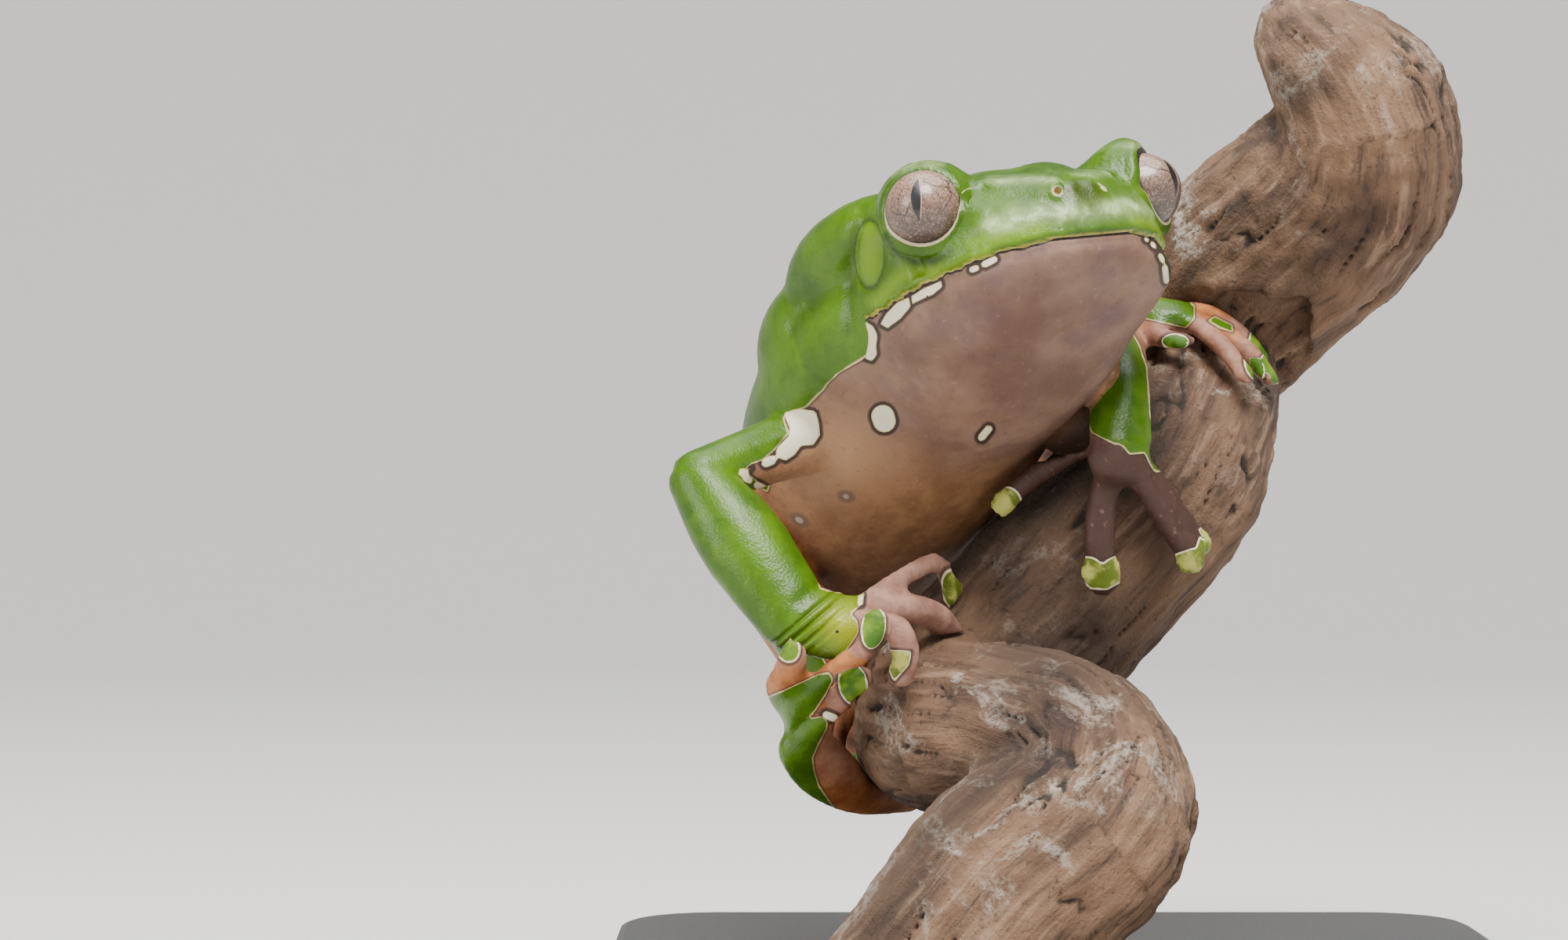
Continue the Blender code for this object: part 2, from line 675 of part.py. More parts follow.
def make_length(name, start, stop, triangles):
    """A length of the liana from start to stop (0..1 of its route), with shallow ribs and knots."""
    reach = 0.012
    first, last = max(start - reach, 0.0), min(stop + reach, 1.0)
    spans = round(90 * (last - first))
    rings = []
    for k in range(spans + 1):
        t = first + (last - first) * k / spans
        centre, ahead = liana_place(t)
        across = (Vector((0.35, 1, 0.2)) - ahead * ahead.dot(Vector((0.35, 1, 0.2)))).normalized()
        up = ahead.cross(across)
        radius = along(LIANA_RADII, t)
        ring = []
        for j in range(LIANA_SIDES):
            w = math.tau * j / LIANA_SIDES
            out = across * math.cos(w) + up * math.sin(w)
            bump = 0.45 * math.cos(3 * w + 9.0 * t) + 0.8 * noise.noise((centre + out * radius) * 0.09)
            ring.append((centre + out * (radius + bump)) * MM)
        rings.append(ring)
    length = union(name, [skin_rings(name, rings)], LIANA_VOXEL)
    thin_out(length, triangles)
    for t, way in ((start, -1), (stop, 1)):
        if 0.0 < t < 1.0:
            centre, ahead = liana_place(t)
            end_at(length, centre, ahead * way, 36.0)
    return length


def make_liana():
    """The lengths of the liana, end to end, the lowest cut level above the base."""
    ends = (0.0, *LIANA_SPLITS, 1.0)
    lengths = []
    for k, name in enumerate(LIANA_NAMES):
        length = make_length(name, ends[k], ends[k + 1], LIANA_TRIANGLES[k])
        room = [grown(other, GAP - 0.02) for other in lengths]
        carve(length, room)
        drop(room)
        lengths.append(length)
    keep_side(lengths[0], (0, 0, LIANA_FOOT), (0, 0, 1), 120.0)
    return lengths


def make_base():
    """A flat slab with round corners and a softened edge."""
    wide, deep, high = (s * MM for s in BASE_SIZE)
    corner = BASE_CORNER * MM
    verts = []
    turns = 6
    for cx, cy, start in ((1, 1, 0), (-1, 1, 90), (-1, -1, 180), (1, -1, 270)):
        for k in range(turns + 1):
            w = math.radians(start + 90 * k / turns)
            verts.append((cx * (wide / 2 - corner) + corner * math.cos(w),
                          cy * (deep / 2 - corner) + corner * math.sin(w), 0.0))
    base = new_object("stand_base", verts, [tuple(range(len(verts)))])
    work = bmesh.new()
    work.from_mesh(base.data)
    made = bmesh.ops.extrude_face_region(work, geom=work.faces[:])
    top = [v for v in made["geom"] if isinstance(v, bmesh.types.BMVert)]
    bmesh.ops.translate(work, vec=(0, 0, high), verts=top)
    bmesh.ops.recalc_face_normals(work, faces=work.faces)
    work.to_mesh(base.data)
    work.free()
    edge = base.modifiers.new("edge", "BEVEL")
    edge.width = BASE_EDGE * MM
    edge.segments = 2
    edge.limit_method = "ANGLE"
    edge.angle_limit = math.radians(60)
    return base


def make_rod(name, foot, top):
    """A round rod that stands on the base at foot (x, y in mm) and ends at height top."""
    low = BASE_SIZE[2] + GAP
    work = bmesh.new()
    bmesh.ops.create_cone(work, cap_ends=True, segments=20, radius1=ROD_RADIUS * MM,
                          radius2=ROD_RADIUS * MM, depth=(top - low) * MM)
    bmesh.ops.translate(work, vec=point((foot[0], foot[1], (top + low) / 2)), verts=work.verts)
    mesh = bpy.data.meshes.new(name)
    work.to_mesh(mesh)
    work.free()
    made = bpy.data.objects.new(name, mesh)
    bpy.context.scene.collection.objects.link(made)
    return made


def tube(name, stations, width, cuts, triangles):
    """A limb segment, trimmed at its joints. A cut is a point and the way that goes off."""
    made = union(name, [limb(name, stations, width, 26, 20)], 0)
    thin_out(made, triangles)
    for at, towards in cuts:
        end_at(made, at, towards)
    return made


def make_arm(side, shoulder, elbow, middle, wrist, palm, sizes, width, room):
    """Upper arm, forearm and hand of one side, which end at planes across elbow and wrist."""
    top, upper, bend, fore, cuff, blade = sizes
    at_elbow = joint_plane(shoulder, elbow, middle)
    at_wrist = joint_plane(middle, wrist, palm)
    half = Vector(shoulder).lerp(Vector(elbow), 0.5)
    arm = tube("upper_arm_" + side, [(shoulder, *top), (half, *upper), (elbow, *bend)], width,
               [(elbow, at_elbow)], ARM_TRIANGLES)
    forearm = tube("forearm_" + side, [(elbow, *bend), (middle, *fore), (wrist, *cuff)], width,
                   [(elbow, -at_elbow), (wrist, at_wrist)], ARM_TRIANGLES)
    ahead = Vector(palm) - Vector(wrist)
    path = [(Vector(wrist) - ahead * 0.3, *cuff), (wrist, *cuff), (palm, *blade)]
    root = limb("palm", path, width, 14, 16)
    hand = make_extremity("hand_" + side, [root], HAND_TRIANGLES)
    end_at(hand, wrist, -at_wrist)
    for piece in (arm, forearm, hand):
        carve(piece, room)
        room.append(grown(piece, GAP))
    return [arm, forearm, hand]


def make_leg(side, hip, knee, ankle, sole, width, room):
    """Thigh, shank and foot of one side, which end at planes across knee and ankle."""
    at_knee = joint_plane(hip, knee, ankle)
    at_ankle = joint_plane(knee, ankle, sole[0])
    half = Vector(hip).lerp(Vector(knee), 0.45)
    calf = Vector(knee).lerp(Vector(ankle), 0.4)
    leg = tube("thigh_" + side, [(hip, *HIP_SIZE), (half, *THIGH_SIZE), (knee, *KNEE_SIZE)], width,
               [(knee, at_knee)], LEG_TRIANGLES)
    shank = tube("shank_" + side, [(knee, *KNEE_SIZE), (calf, *CALF_SIZE), (ankle, *ANKLE_SIZE)], width,
                 [(knee, -at_knee), (ankle, at_ankle)], LEG_TRIANGLES)
    back = Vector(ankle).lerp(Vector(sole[0]), -0.15)
    path = [(back, *ANKLE_SIZE), (ankle, *ANKLE_SIZE)] + [(p, w, 2.5) for p, w in zip(sole, SOLE_WIDTHS)]
    foot = make_extremity("foot_" + side, [limb("sole", path, width, 20, 16)], FOOT_TRIANGLES)
    end_at(foot, ankle, -at_ankle)
    for piece in (leg, shank, foot):
        carve(piece, room)
        room.append(grown(piece, GAP))
    return [leg, shank, foot]


def drop(things):
    for thing in things:
        bpy.data.objects.remove(thing, do_unlink=True)


def main():
    clear_scene()
    liana = make_liana()
    room = [grown(length, GAP) for length in liana]
    core = make_core()
    thin_out(core, CORE_TRIANGLES)
    carve(core, room)
    neck = in_head(*NECK_PLACE)
    head = split_between(core, neck, FORWARD + trunk_axes()[0], "head", "torso")
    head = finish_head(head)
    eyes = [make_eye("eye_right", -1), make_eye("eye_left", 1)]
    room += [grown(core, GAP), grown(head, GAP)]

    flesh = [head, core]
    flesh += make_arm("right", SHOULDER_RIGHT, ELBOW_RIGHT, FOREARM_RIGHT, WRIST_RIGHT, PALM_RIGHT,
                      ARM_SIZES_RIGHT, (1, 0.2, 0.4), room)
    flesh += make_arm("left", SHOULDER_LEFT, ELBOW_LEFT, FOREARM_LEFT, WRIST_LEFT, PALM_LEFT,
                      ARM_SIZES_LEFT, (1, 0.2, 0.0), room)
    flesh += make_leg("right", HIP_RIGHT, KNEE_RIGHT, ANKLE_RIGHT, SOLE_RIGHT, (1, 0.2, 0.4), room)
    flesh += make_leg("left", HIP_LEFT, KNEE_LEFT, ANKLE_LEFT, SOLE_LEFT, (1, 0.5, 0.0), room)

    rods = [make_rod("stand_rod_front", ROD_FRONT, LIANA_FOOT - GAP / 2),
            make_rod("stand_rod_rear", ROD_REAR, ROD_REAR_TOP)]
    carve(rods[1], room[:len(liana)])
    drop(room)

    for thing in flesh:
        finish(thing, SKIN_GREEN, 0.3)
    for thing in eyes:
        finish(thing, IRIS_BRONZE, 0.15)
    for thing in liana:
        finish(thing, BARK_TAN, 0.85)
    finish(make_base(), STAND_BLACK, 0.4)
    for thing in rods:
        finish(thing, ROD_STEEL, 0.3, 1.0)


main()
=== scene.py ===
"""Giant monkey frog on a twisted liana: the dressed display model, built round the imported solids."""

import json
import math

import bpy
import numpy as np
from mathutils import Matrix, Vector, noise
from mathutils.bvhtree import BVHTree
from mathutils.kdtree import KDTree

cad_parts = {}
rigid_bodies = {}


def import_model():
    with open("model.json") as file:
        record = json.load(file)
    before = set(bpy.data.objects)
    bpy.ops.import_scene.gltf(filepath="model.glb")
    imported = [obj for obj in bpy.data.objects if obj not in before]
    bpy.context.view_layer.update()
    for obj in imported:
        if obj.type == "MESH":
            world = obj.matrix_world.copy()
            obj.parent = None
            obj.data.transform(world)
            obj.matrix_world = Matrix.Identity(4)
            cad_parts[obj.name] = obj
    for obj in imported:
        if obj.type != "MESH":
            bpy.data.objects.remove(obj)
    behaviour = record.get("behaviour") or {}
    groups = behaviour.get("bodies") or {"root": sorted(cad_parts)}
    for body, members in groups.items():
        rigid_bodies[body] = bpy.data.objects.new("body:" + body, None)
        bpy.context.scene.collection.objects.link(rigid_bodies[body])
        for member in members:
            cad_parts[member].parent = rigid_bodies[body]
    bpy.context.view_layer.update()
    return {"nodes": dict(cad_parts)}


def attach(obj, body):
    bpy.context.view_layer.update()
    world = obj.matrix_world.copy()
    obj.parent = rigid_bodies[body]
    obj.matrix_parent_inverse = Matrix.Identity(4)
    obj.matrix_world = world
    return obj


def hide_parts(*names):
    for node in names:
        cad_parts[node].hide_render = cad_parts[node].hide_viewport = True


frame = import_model()

MM = 0.001
CAMERA_PLACE = (-0.038, -0.472, 0.074)
CAMERA_LENS = 81.0
SENSOR = 36.0
PHOTO_SIZE = (2000, 1199)

# The head's own axes, and its landmarks on them in millimetres: forward, left and up.
HEAD_ORIGIN = (-9.7, -10.0, 90.2)
HEAD_YAW, HEAD_PITCH, HEAD_ROLL = 25.5, 20.0, 6.5
JAW_LENGTH = 28.6
LIP_HEIGHTS = (5.8, 5.2, 4.9, 4.7, 4.6, 4.1)
MOUTH_DROP, MOUTH_FRONT, MOUTH_SIDE = 0.4, 34.0, 21.0
SNOUT_START, CHEEK = 22.0, (-6.0, 14.0, 1.0)
EYE_RADIUS = 5.0
EYE_PLACE = (17.4, 16.4, 13.1)
EYE_TURN, EYE_LIFT = 38.0, 0.08
GAZE_TURN, GAZE_LIFT, SLIT_PLUMB, SLIT_HALF_HEIGHT = {-1: 37.0, 1: 26.0}, 0.02, 0.75, 2.8
# The right nostril and eardrum in the photograph's pixels, and the eardrum's half sizes in millimetres.
NOSTRIL_PIXEL, DRUM_PIXEL, DRUM_SIZE = (1349.0, 243.0), (1109.0, 324.0), (1.8, 4.1)

SKIN_VOXEL, SKIN_TRIANGLES, LIANA_VOXEL = 0.6, 190000, 0.62
# The distance inside a marking's edge that stands for no marking at all.
NOWHERE = -9.0
# The parts that share the one skin, each with the part it grows from.
FLESH = {
    "head": "torso", "torso": None,
    "upper_arm_right": "torso", "forearm_right": "upper_arm_right", "hand_right": "forearm_right",
    "upper_arm_left": "torso", "forearm_left": "upper_arm_left", "hand_left": "forearm_left",
    "thigh_right": "torso", "shank_right": "thigh_right", "foot_right": "shank_right",
    "thigh_left": "torso", "shank_left": "thigh_left", "foot_left": "shank_left",
}


# Meshes.


def pick(*things):
    """Selects only these things, the first one active."""
    bpy.ops.object.select_all(action="DESELECT")
    for thing in things:
        thing.select_set(True)
    bpy.context.view_layer.objects.active = things[0]


def edit(select="DESELECT"):
    """Goes into edit mode with everything or nothing selected."""
    bpy.ops.object.mode_set(mode="EDIT")
    bpy.ops.mesh.select_all(action=select)


def leave():
    bpy.ops.object.mode_set(mode="OBJECT")


def put(name, data):
    made = bpy.data.objects.new(name, data)
    bpy.context.scene.collection.objects.link(made)
    return made


def join(name, *things):
    """Joins the things into one with this name."""
    pick(*things)
    bpy.ops.object.join()
    made = bpy.context.object
    made.name = made.data.name = name
    return made


def worked(thing, kind, **settings):
    """Adds a modifier to the thing and applies it."""
    tool = thing.modifiers.new(kind.lower(), kind)
    for key, value in settings.items():
        setattr(tool, key, value)
    pick(thing)
    bpy.ops.object.modifier_apply(modifier=tool.name)
    return thing


def places(thing):
    """The vertices in millimetres, one row each."""
    flat = np.empty(len(thing.data.vertices) * 3, np.float32)
    thing.data.vertices.foreach_get("co", flat)
    return flat.reshape(-1, 3).astype(float) / MM


def set_places(thing, spots):
    thing.data.vertices.foreach_set("co", (spots * MM).astype(np.float32).ravel())
    thing.data.update()


def outwards(thing):
    """The vertex normals, one row each."""
    flat = np.empty(len(thing.data.vertices) * 3, np.float32)
    thing.data.vertex_normals.foreach_get("vector", flat)
    return flat.reshape(-1, 3).astype(float)


def edge_ends(thing):
    """The numbers of the two vertices of each edge."""
    flat = np.empty(len(thing.data.edges) * 2, np.int32)
    thing.data.edges.foreach_get("vertices", flat)
    return flat.reshape(-1, 2)


def length(rows):
    return np.linalg.norm(rows, axis=1)


def mean_of_neighbours(thing):
    """A function that gives, for rows of values at the vertices, the mean over each vertex's neighbours."""
    a, b = edge_ends(thing).T
    count = len(thing.data.vertices)
    degree = np.maximum(np.bincount(a, minlength=count) + np.bincount(b, minlength=count), 1)

    def mean(rows):
        columns = [np.bincount(a, row[b], count) + np.bincount(b, row[a], count) for row in rows.T]
        return np.stack(columns, axis=1) / degree[:, None]

    return mean


def blur(values, thing, rounds):
    """Spreads rows of values over the surface."""
    mean = mean_of_neighbours(thing)
    for _ in range(rounds):
        values = 0.5 * (values + mean(values))
    return values


def relax(thing, rounds, weight=None, back=0.53):
    """Evens the surface out without shrinking it. With back=0 it also flattens small dents."""
    spots = places(thing)
    mean = mean_of_neighbours(thing)
    share = 1.0 if weight is None else weight[:, None]
    for _ in range(rounds):
        for step in (0.5, -back) if back else (0.5,):
            spots += share * step * (mean(spots) - spots)
    set_places(thing, spots)


def tree_of(thing):
    return BVHTree.FromObject(thing, bpy.context.evaluated_depsgraph_get())


def solid_copy(name):
    """The node's mesh, welded, as a new thing."""
    made = put(name + "_copy", frame["nodes"][name].data.copy())
    made.data.materials.clear()
    pick(made)
    edit("SELECT")
    bpy.ops.mesh.remove_doubles(threshold=1e-7)
    leave()
    return made


def refine(thing, wanted):
    """Divides each face whose corners are all wanted once."""
    pick(thing)
    edit()
    leave()
    thing.data.vertices.foreach_set("select", wanted.astype(bool))
    chosen = [all(wanted[v] for v in face.vertices) for face in thing.data.polygons]
    thing.data.polygons.foreach_set("select", chosen)
    bpy.ops.object.mode_set(mode="EDIT")
    bpy.ops.mesh.select_mode(type="FACE")
    bpy.ops.mesh.subdivide(number_cuts=1, smoothness=0.0)
    bpy.ops.mesh.select_mode(type="VERT")
    leave()


def drop_crumbs(thing):
    """Keeps only the closed surface that reaches nearest to the viewer."""
    pick(thing)
    edit()
    leave()
    thing.data.vertices[int(np.argmin(places(thing)[:, 1]))].select = True
    bpy.ops.object.mode_set(mode="EDIT")
    bpy.ops.mesh.select_linked()
    bpy.ops.mesh.select_all(action="INVERT")
    bpy.ops.mesh.delete(type="VERT")
    leave()


# Places on the frog.


def bearings(yaw, pitch):
    """The way ahead at these angles in degrees, and the level way to the left of it."""
    yaw, pitch = math.radians(yaw), math.radians(pitch)
    ahead = (math.cos(pitch) * math.sin(yaw), -math.cos(pitch) * math.cos(yaw), math.sin(pitch))
    return Vector(ahead), Vector((math.cos(yaw), math.sin(yaw), 0.0))


def head_axes():
    forward, level = bearings(HEAD_YAW, HEAD_PITCH)
    up, roll = -forward.cross(level), math.radians(HEAD_ROLL)
    up = up if up.z > 0 else -up
    left = level * math.cos(roll) + up * math.sin(roll)
    return forward, left, forward.cross(left)


FORWARD, LEFT, UP = head_axes()


def in_head(f, l, u):
    """The place this far forward, left and up of the head's origin, in millimetres."""
    return Vector(HEAD_ORIGIN) + FORWARD * f + LEFT * l + UP * u


def on_head_axes(spots):
    """Forward, left and up of each row, in millimetres."""
    return (spots - np.array(HEAD_ORIGIN)) @ np.array([FORWARD, LEFT, UP]).T


def smooth(low, high, value):
    """0 at low and 1 at high, with a soft step between. Low may lie above high."""
    t = np.clip((value - low) / (high - low), 0.0, 1.0)
    return t * t * (3 - 2 * t)


def lip_level(f):
    """Height of the line of the mouth, which wavers a little."""
    stops = np.linspace(0.0, JAW_LENGTH, len(LIP_HEIGHTS))
    waver = 0.13 * np.sin(f * 1.9) + 0.08 * np.sin(f * 5.1 + 1.0)
    return np.interp(f, stops, LIP_HEIGHTS) - MOUTH_DROP + waver


def eye_centre(side):
    return in_head(EYE_PLACE[0], side * EYE_PLACE[1], EYE_PLACE[2])


def aside(side, turn, lift):
    """The way ahead of the head, turned to a side by degrees and lifted."""
    turn = math.radians(turn)
    return (FORWARD * math.cos(turn) + LEFT * side * math.sin(turn) + UP * lift).normalized()


def eye_axis(side):
    return aside(side, EYE_TURN, EYE_LIFT)


# The skin. A limb closer than JOINT_REACH to what it grows from is run into it; others keep TOUCH_GAP.

JOINT_REACH, TOUCH_GAP, PLUG_RADIUS = 0.6, 0.85, 5.5


def close_joints(copies):
    """Runs each limb into what it grows from, and clears it of whatever it only touches."""
    trees = {name: tree_of(copy) for name, copy in copies.items()}
    names = list(copies)
    for k, name in enumerate(names):
        spots = places(copies[name])
        for other in names:
            grows = FLESH[name] == other
            if other == name or (not grows and (FLESH[other] == name or names.index(other) > k)):
                continue
            reach = JOINT_REACH if grows else TOUCH_GAP
            for i, spot in enumerate(spots):
                near, normal, _, far = trees[other].find_nearest(Vector(spot) * MM, reach * MM)
                if near is None:
                    continue
                if grows:
                    spots[i] = np.array(near - normal * JOINT_REACH * MM) / MM
                else:
                    spots[i] += np.array(normal) * (reach - far / MM)
        set_places(copies[name], spots)


def make_skin():
    copies = {}
    for name in FLESH:
        copies[name] = worked(solid_copy(name), "REMESH", mode="VOXEL", voxel_size=SKIN_VOXEL * MM)
    close_joints(copies)
    plugs = []
    for side in (-1, 1):
        bpy.ops.mesh.primitive_uv_sphere_add(segments=32, ring_count=20, radius=PLUG_RADIUS * MM,
                                             location=eye_centre(side) * MM)
        plugs.append(bpy.context.object)
    skin = join("skin", *copies.values(), *plugs)
    bpy.ops.object.transform_apply(location=True, rotation=True, scale=True)
    worked(skin, "REMESH", mode="VOXEL", voxel_size=SKIN_VOXEL * MM)
    drop_crumbs(skin)
    relax(skin, EVEN_ROUNDS)
    return skin


# Sculpting.


def bell(distance, width):
    return np.exp(-(distance / width) ** 2)


def from_line(spots, line):
    """Distance in millimetres from each row to a line through points, in 2 or 3 dimensions."""
    best = np.full(len(spots), 1e9)
    for a, b in zip(line[:-1], line[1:]):
        a, b = np.array(a, float), np.array(b, float)
        way = b - a
        t = np.clip((spots - a) @ way / (way @ way), 0.0, 1.0)
        best = np.minimum(best, length(spots - a - t[:, None] * way))
    return best


def within(spots, outline):
    """Distance in millimetres from the edge of a closed outline in the picture plane, above 0 inside it."""
    ring = np.array(outline + outline[:1], float)
    far = from_line(spots, ring)
    inside = np.zeros(len(spots), bool)
    for (x0, y0), (x1, y1) in zip(ring[:-1], ring[1:]):
        slope = (x1 - x0) / (y1 - y0) if y1 != y0 else 0.0
        crossed = (y0 > spots[:, 1]) != (y1 > spots[:, 1])
        inside ^= crossed & (spots[:, 0] < x0 + (spots[:, 1] - y0) * slope)
    return np.where(inside, far, -far)


def drawn(pixel, points, half):
    """Distance inside a shape in photograph pixels: a line with a half width, or an outline if half is 0."""
    if half:
        return half - from_stroke(pixel, points)
    return within(pixel / 10, tuple((x / 10, y / 10) for x, y in points))


def from_pixel(pixel, place, size=(1.0, 1.0)):
    """How far each row lies from a place in the photograph, in millimetres or in units of size."""
    return length((pixel - np.array(place)) / 10 / np.array(size))


def patch(pixel, place, reach):
    """1 at a place in the photograph, fading round it over a reach in millimetres."""
    return bell(from_pixel(pixel, place), reach)


def from_stroke(pixel, line):
    """Distance in millimetres from a line in photograph pixels."""
    return from_line(pixel / 10, np.array(line) / 10)


def seen_at(spots):
    """Where each row falls in the photograph's frame, in its pixels."""
    away = (spots[:, 1] - CAMERA_PLACE[1] / MM) * (SENSOR / CAMERA_LENS) / PHOTO_SIZE[0]
    across = (spots[:, 0] - CAMERA_PLACE[0] / MM) / away + PHOTO_SIZE[0] / 2
    down = PHOTO_SIZE[1] / 2 - (spots[:, 2] - CAMERA_PLACE[2] / MM) / away
    return np.stack([across, down], axis=1)


def from_seen(spots, pixel, place):
    """How far each row is from the vertex seen at a place in the photograph, or seen nearest to it."""
    away = length(pixel - np.array(place))
    close = np.flatnonzero(away < max(away.min() + 1, 6.0))
    return length(spots - spots[close[np.argmin(spots[close, 1])]])


def on_right_half(spots):
    """The rows with those of the head's left half mirrored onto its right half."""
    axes = on_head_axes(spots)
    axes[:, 1] = -np.abs(axes[:, 1])
    return np.array(HEAD_ORIGIN) + axes @ np.array([FORWARD, LEFT, UP])


WRIST_RIGHT = (-36.6, -21.5, 55.2)
FOLD_PLACE, FOLD_WAY = (1010.0, 775.0), (0.65, 0.75)
FOLDS = ((1.9, 0.45), (3.1, 0.55), (4.5, 0.42), (5.6, 0.24), (6.6, 0.16))
HAND_BULGE = (1072.0, 795.0), 2.0
TOE_CREASE = ((1003, 946), (1016, 931), (1030, 917))
EAR_FOLD = ((1098, 268), (1090, 300), (1085, 339), (1081, 390), (1084, 441))
# Rises and hollows of the snout: height, half width, and the line in photograph pixels.
SNOUT_RIDGES = (
    (0.5, 0.65, ((1248, 236), (1290, 231), (1330, 230), (1368, 238))),
    (-0.4, 0.75, ((1252, 254), (1295, 250), (1335, 256), (1352, 266))),
    (0.3, 0.9, ((1250, 292), (1318, 277), (1392, 268))),
    (0.3, 0.8, ((1408, 236), (1422, 262), (1424, 288))),
    (-0.25, 0.6, ((1374, 240), (1392, 250), (1398, 266))),
)
# Corrections of the head's outline: pixel, reach, and the shift to the right and up, in millimetres.
NUDGES = (
    (1482, 356, 3.4, 1.7, 0.0), (1434, 184, 2.4, 0.4, 1.3), (1384, 200, 2.2, 0.0, -0.9),
    (1290, 208, 2.8, 0.0, -0.6), (1470, 400, 2.4, 0.7, 0.0),
)
# The eye's opening in degrees off its axis, and the lids' thickness.
EYE_OPENING, LID_THICKNESS = 68.0, 0.75
# Where the mesh is divided, twice in all: reach round the eyes and the wrist, and how far it may face away.
REFINED = ((8.8, 7.0, 0.3), (6.8, 5.5, 0.1))
CALM_ROUNDS, EVEN_ROUNDS, SHARE_ROUNDS = 24, 10, 14


def eye_angles(spots, side):
    """For each row: distance from the eye's middle, angle off its axis, and turn from brow to snout."""
    axis = np.array(eye_axis(side))
    top = np.array(UP) - axis * (axis @ np.array(UP))
    top /= np.linalg.norm(top)
    front = np.cross(axis, top) * side
    if front @ np.array(FORWARD) < 0:
        front = -front
    ray = spots - np.array(eye_centre(side))
    far = length(ray)
    off = np.degrees(np.arccos(np.clip(ray @ axis / np.maximum(far, 1e-6), -1, 1)))
    turn = np.degrees(np.arctan2(ray @ front, ray @ top))
    return far, off, turn


def opening(turn):
    """Half angle of the eye's opening: a little drawn out to the corners."""
    corner = 6.0 * bell(turn - 98.0, 13.0) + 4.0 * bell(turn + 105.0, 16.0)
    return EYE_OPENING + corner + 9.0 * bell(np.abs(turn) - 180.0, 62.0) - 2.0 * bell(turn + 10.0, 45.0)


def shape_eye(spots, normals, side):
    """Opens the lids round the eyeball, with a rounded rim, a swollen lower lid and the crease below it."""
    far, off, turn = eye_angles(spots, side)
    near = far < 9.5
    centre = np.array(eye_centre(side))
    past = off - opening(turn)
    edge, inside = EYE_RADIUS + 0.12, EYE_RADIUS - 0.55
    rim = edge + LID_THICKNESS * (1 - np.exp(-np.maximum(past, 0) / 4.5))
    wanted = np.where(past < -4, inside, np.where(past < 0, inside + (edge - inside) * (past + 4) / 4, rim))
    lower = np.clip(-np.cos(np.radians(turn)) * 1.4 + 0.35, 0, 1)
    hold = (1 - smooth(9, 22, past)) * (1 - smooth(6.3, 8.6, far))
    held = wanted * hold + np.maximum(far, EYE_RADIUS + 0.5) * (1 - hold)
    new = np.where(past < 0, wanted, held)
    reach = near & (off < 120) & ((past >= 0) | (far < 7.6))
    spots[reach] = centre + (spots[reach] - centre) * (new / np.maximum(far, 1e-6))[reach, None]
    roll = 0.5 * bell(past - 12, 6) * lower - 1.0 * bell(past - 29, 6) * lower
    folds = 0.03 * np.sin(far * 10.5) * bell(turn - 70, 30) * smooth(16, 24, past) * smooth(62, 48, past)
    fade = 1 - smooth(7.5, 9.5, far)
    spots += normals * (roll * fade * near + folds)[:, None]


def on_face(spots):
    """Head axes, pixels on the right half, height over the mouth, way to nostril and eardrum, and cheek."""
    axes = on_head_axes(spots)
    pixel = seen_at(on_right_half(spots))
    above = axes[:, 2] - lip_level(axes[:, 0])
    nostril = np.where(axes[:, 0] > SNOUT_START, from_pixel(pixel, NOSTRIL_PIXEL), -NOWHERE)
    drum = from_pixel(pixel, DRUM_PIXEL, DRUM_SIZE)
    back, front, low = CHEEK
    cheek = (axes[:, 2] > low) & (axes[:, 0] < front) & (axes[:, 0] > back)
    return axes, pixel, above, nostril, drum, cheek


def round_mouth(axes, back):
    """The rows that may lie near the mouth, from this far behind its corners to the tip of the snout."""
    return (axes[:, 0] > back) & (axes[:, 0] < MOUTH_FRONT) & (np.abs(axes[:, 1]) < MOUTH_SIDE)


def lips(spots):
    """A groove with a rounded upper lip that overhangs the jaw."""
    axes, _, above = on_face(spots)[:3]
    height = -0.55 * bell(above, 0.24) + 0.2 * bell(above - 0.7, 0.5) - 0.25 * bell(above + 0.9, 0.8)
    return height * smooth(-0.5, 1.5, axes[:, 0]) * round_mouth(axes, -1.0)


def features(spots):
    """Nostrils, eardrums, the fold behind them and the snout's ridges, the same on both halves."""
    axes, pixel, _, nostril, drum, cheek = on_face(spots)
    dent = -0.8 * bell(nostril, 0.42) + 0.16 * bell(nostril - 0.75, 0.28)
    dent += np.where(cheek, 0.2 * smooth(1.0, 0.6, drum) - 0.38 * bell(drum - 1.06, 0.12), 0)
    fold = bell(from_stroke(pixel, EAR_FOLD), 0.85) * smooth(-4.0, 0.0, axes[:, 0])
    dent += np.where(cheek, -0.5 * fold, 0)
    snout = smooth(12.0, 17.0, axes[:, 0]) * (axes[:, 2] > 2)
    for height, width, line in SNOUT_RIDGES:
        dent += snout * height * bell(from_stroke(pixel, line), width)
    return dent


def wrist_folds(spots, normals):
    """The right wrist's folds, the bulge of the back of the hand, and the crease between two toes."""
    pixel = seen_at(spots)
    facing = smooth(0.35, -0.1, normals[:, 1])
    run = (pixel - np.array(FOLD_PLACE)) @ np.array(FOLD_WAY) / 10
    near = facing * (1 - smooth(5.5, 8.0, length(spots - np.array(WRIST_RIGHT))))
    dent = 0.55 * patch(pixel, *HAND_BULGE) * facing * (spots[:, 2] < 60)
    for at, depth in FOLDS:
        dent -= depth * near * bell(run - at, 0.26)
    toes = (spots[:, 2] < 47) & (spots[:, 0] < -30)
    crease = bell(from_stroke(pixel, TOE_CREASE), 0.3)
    return dent - np.where(toes, 0.5 * facing * crease, 0)


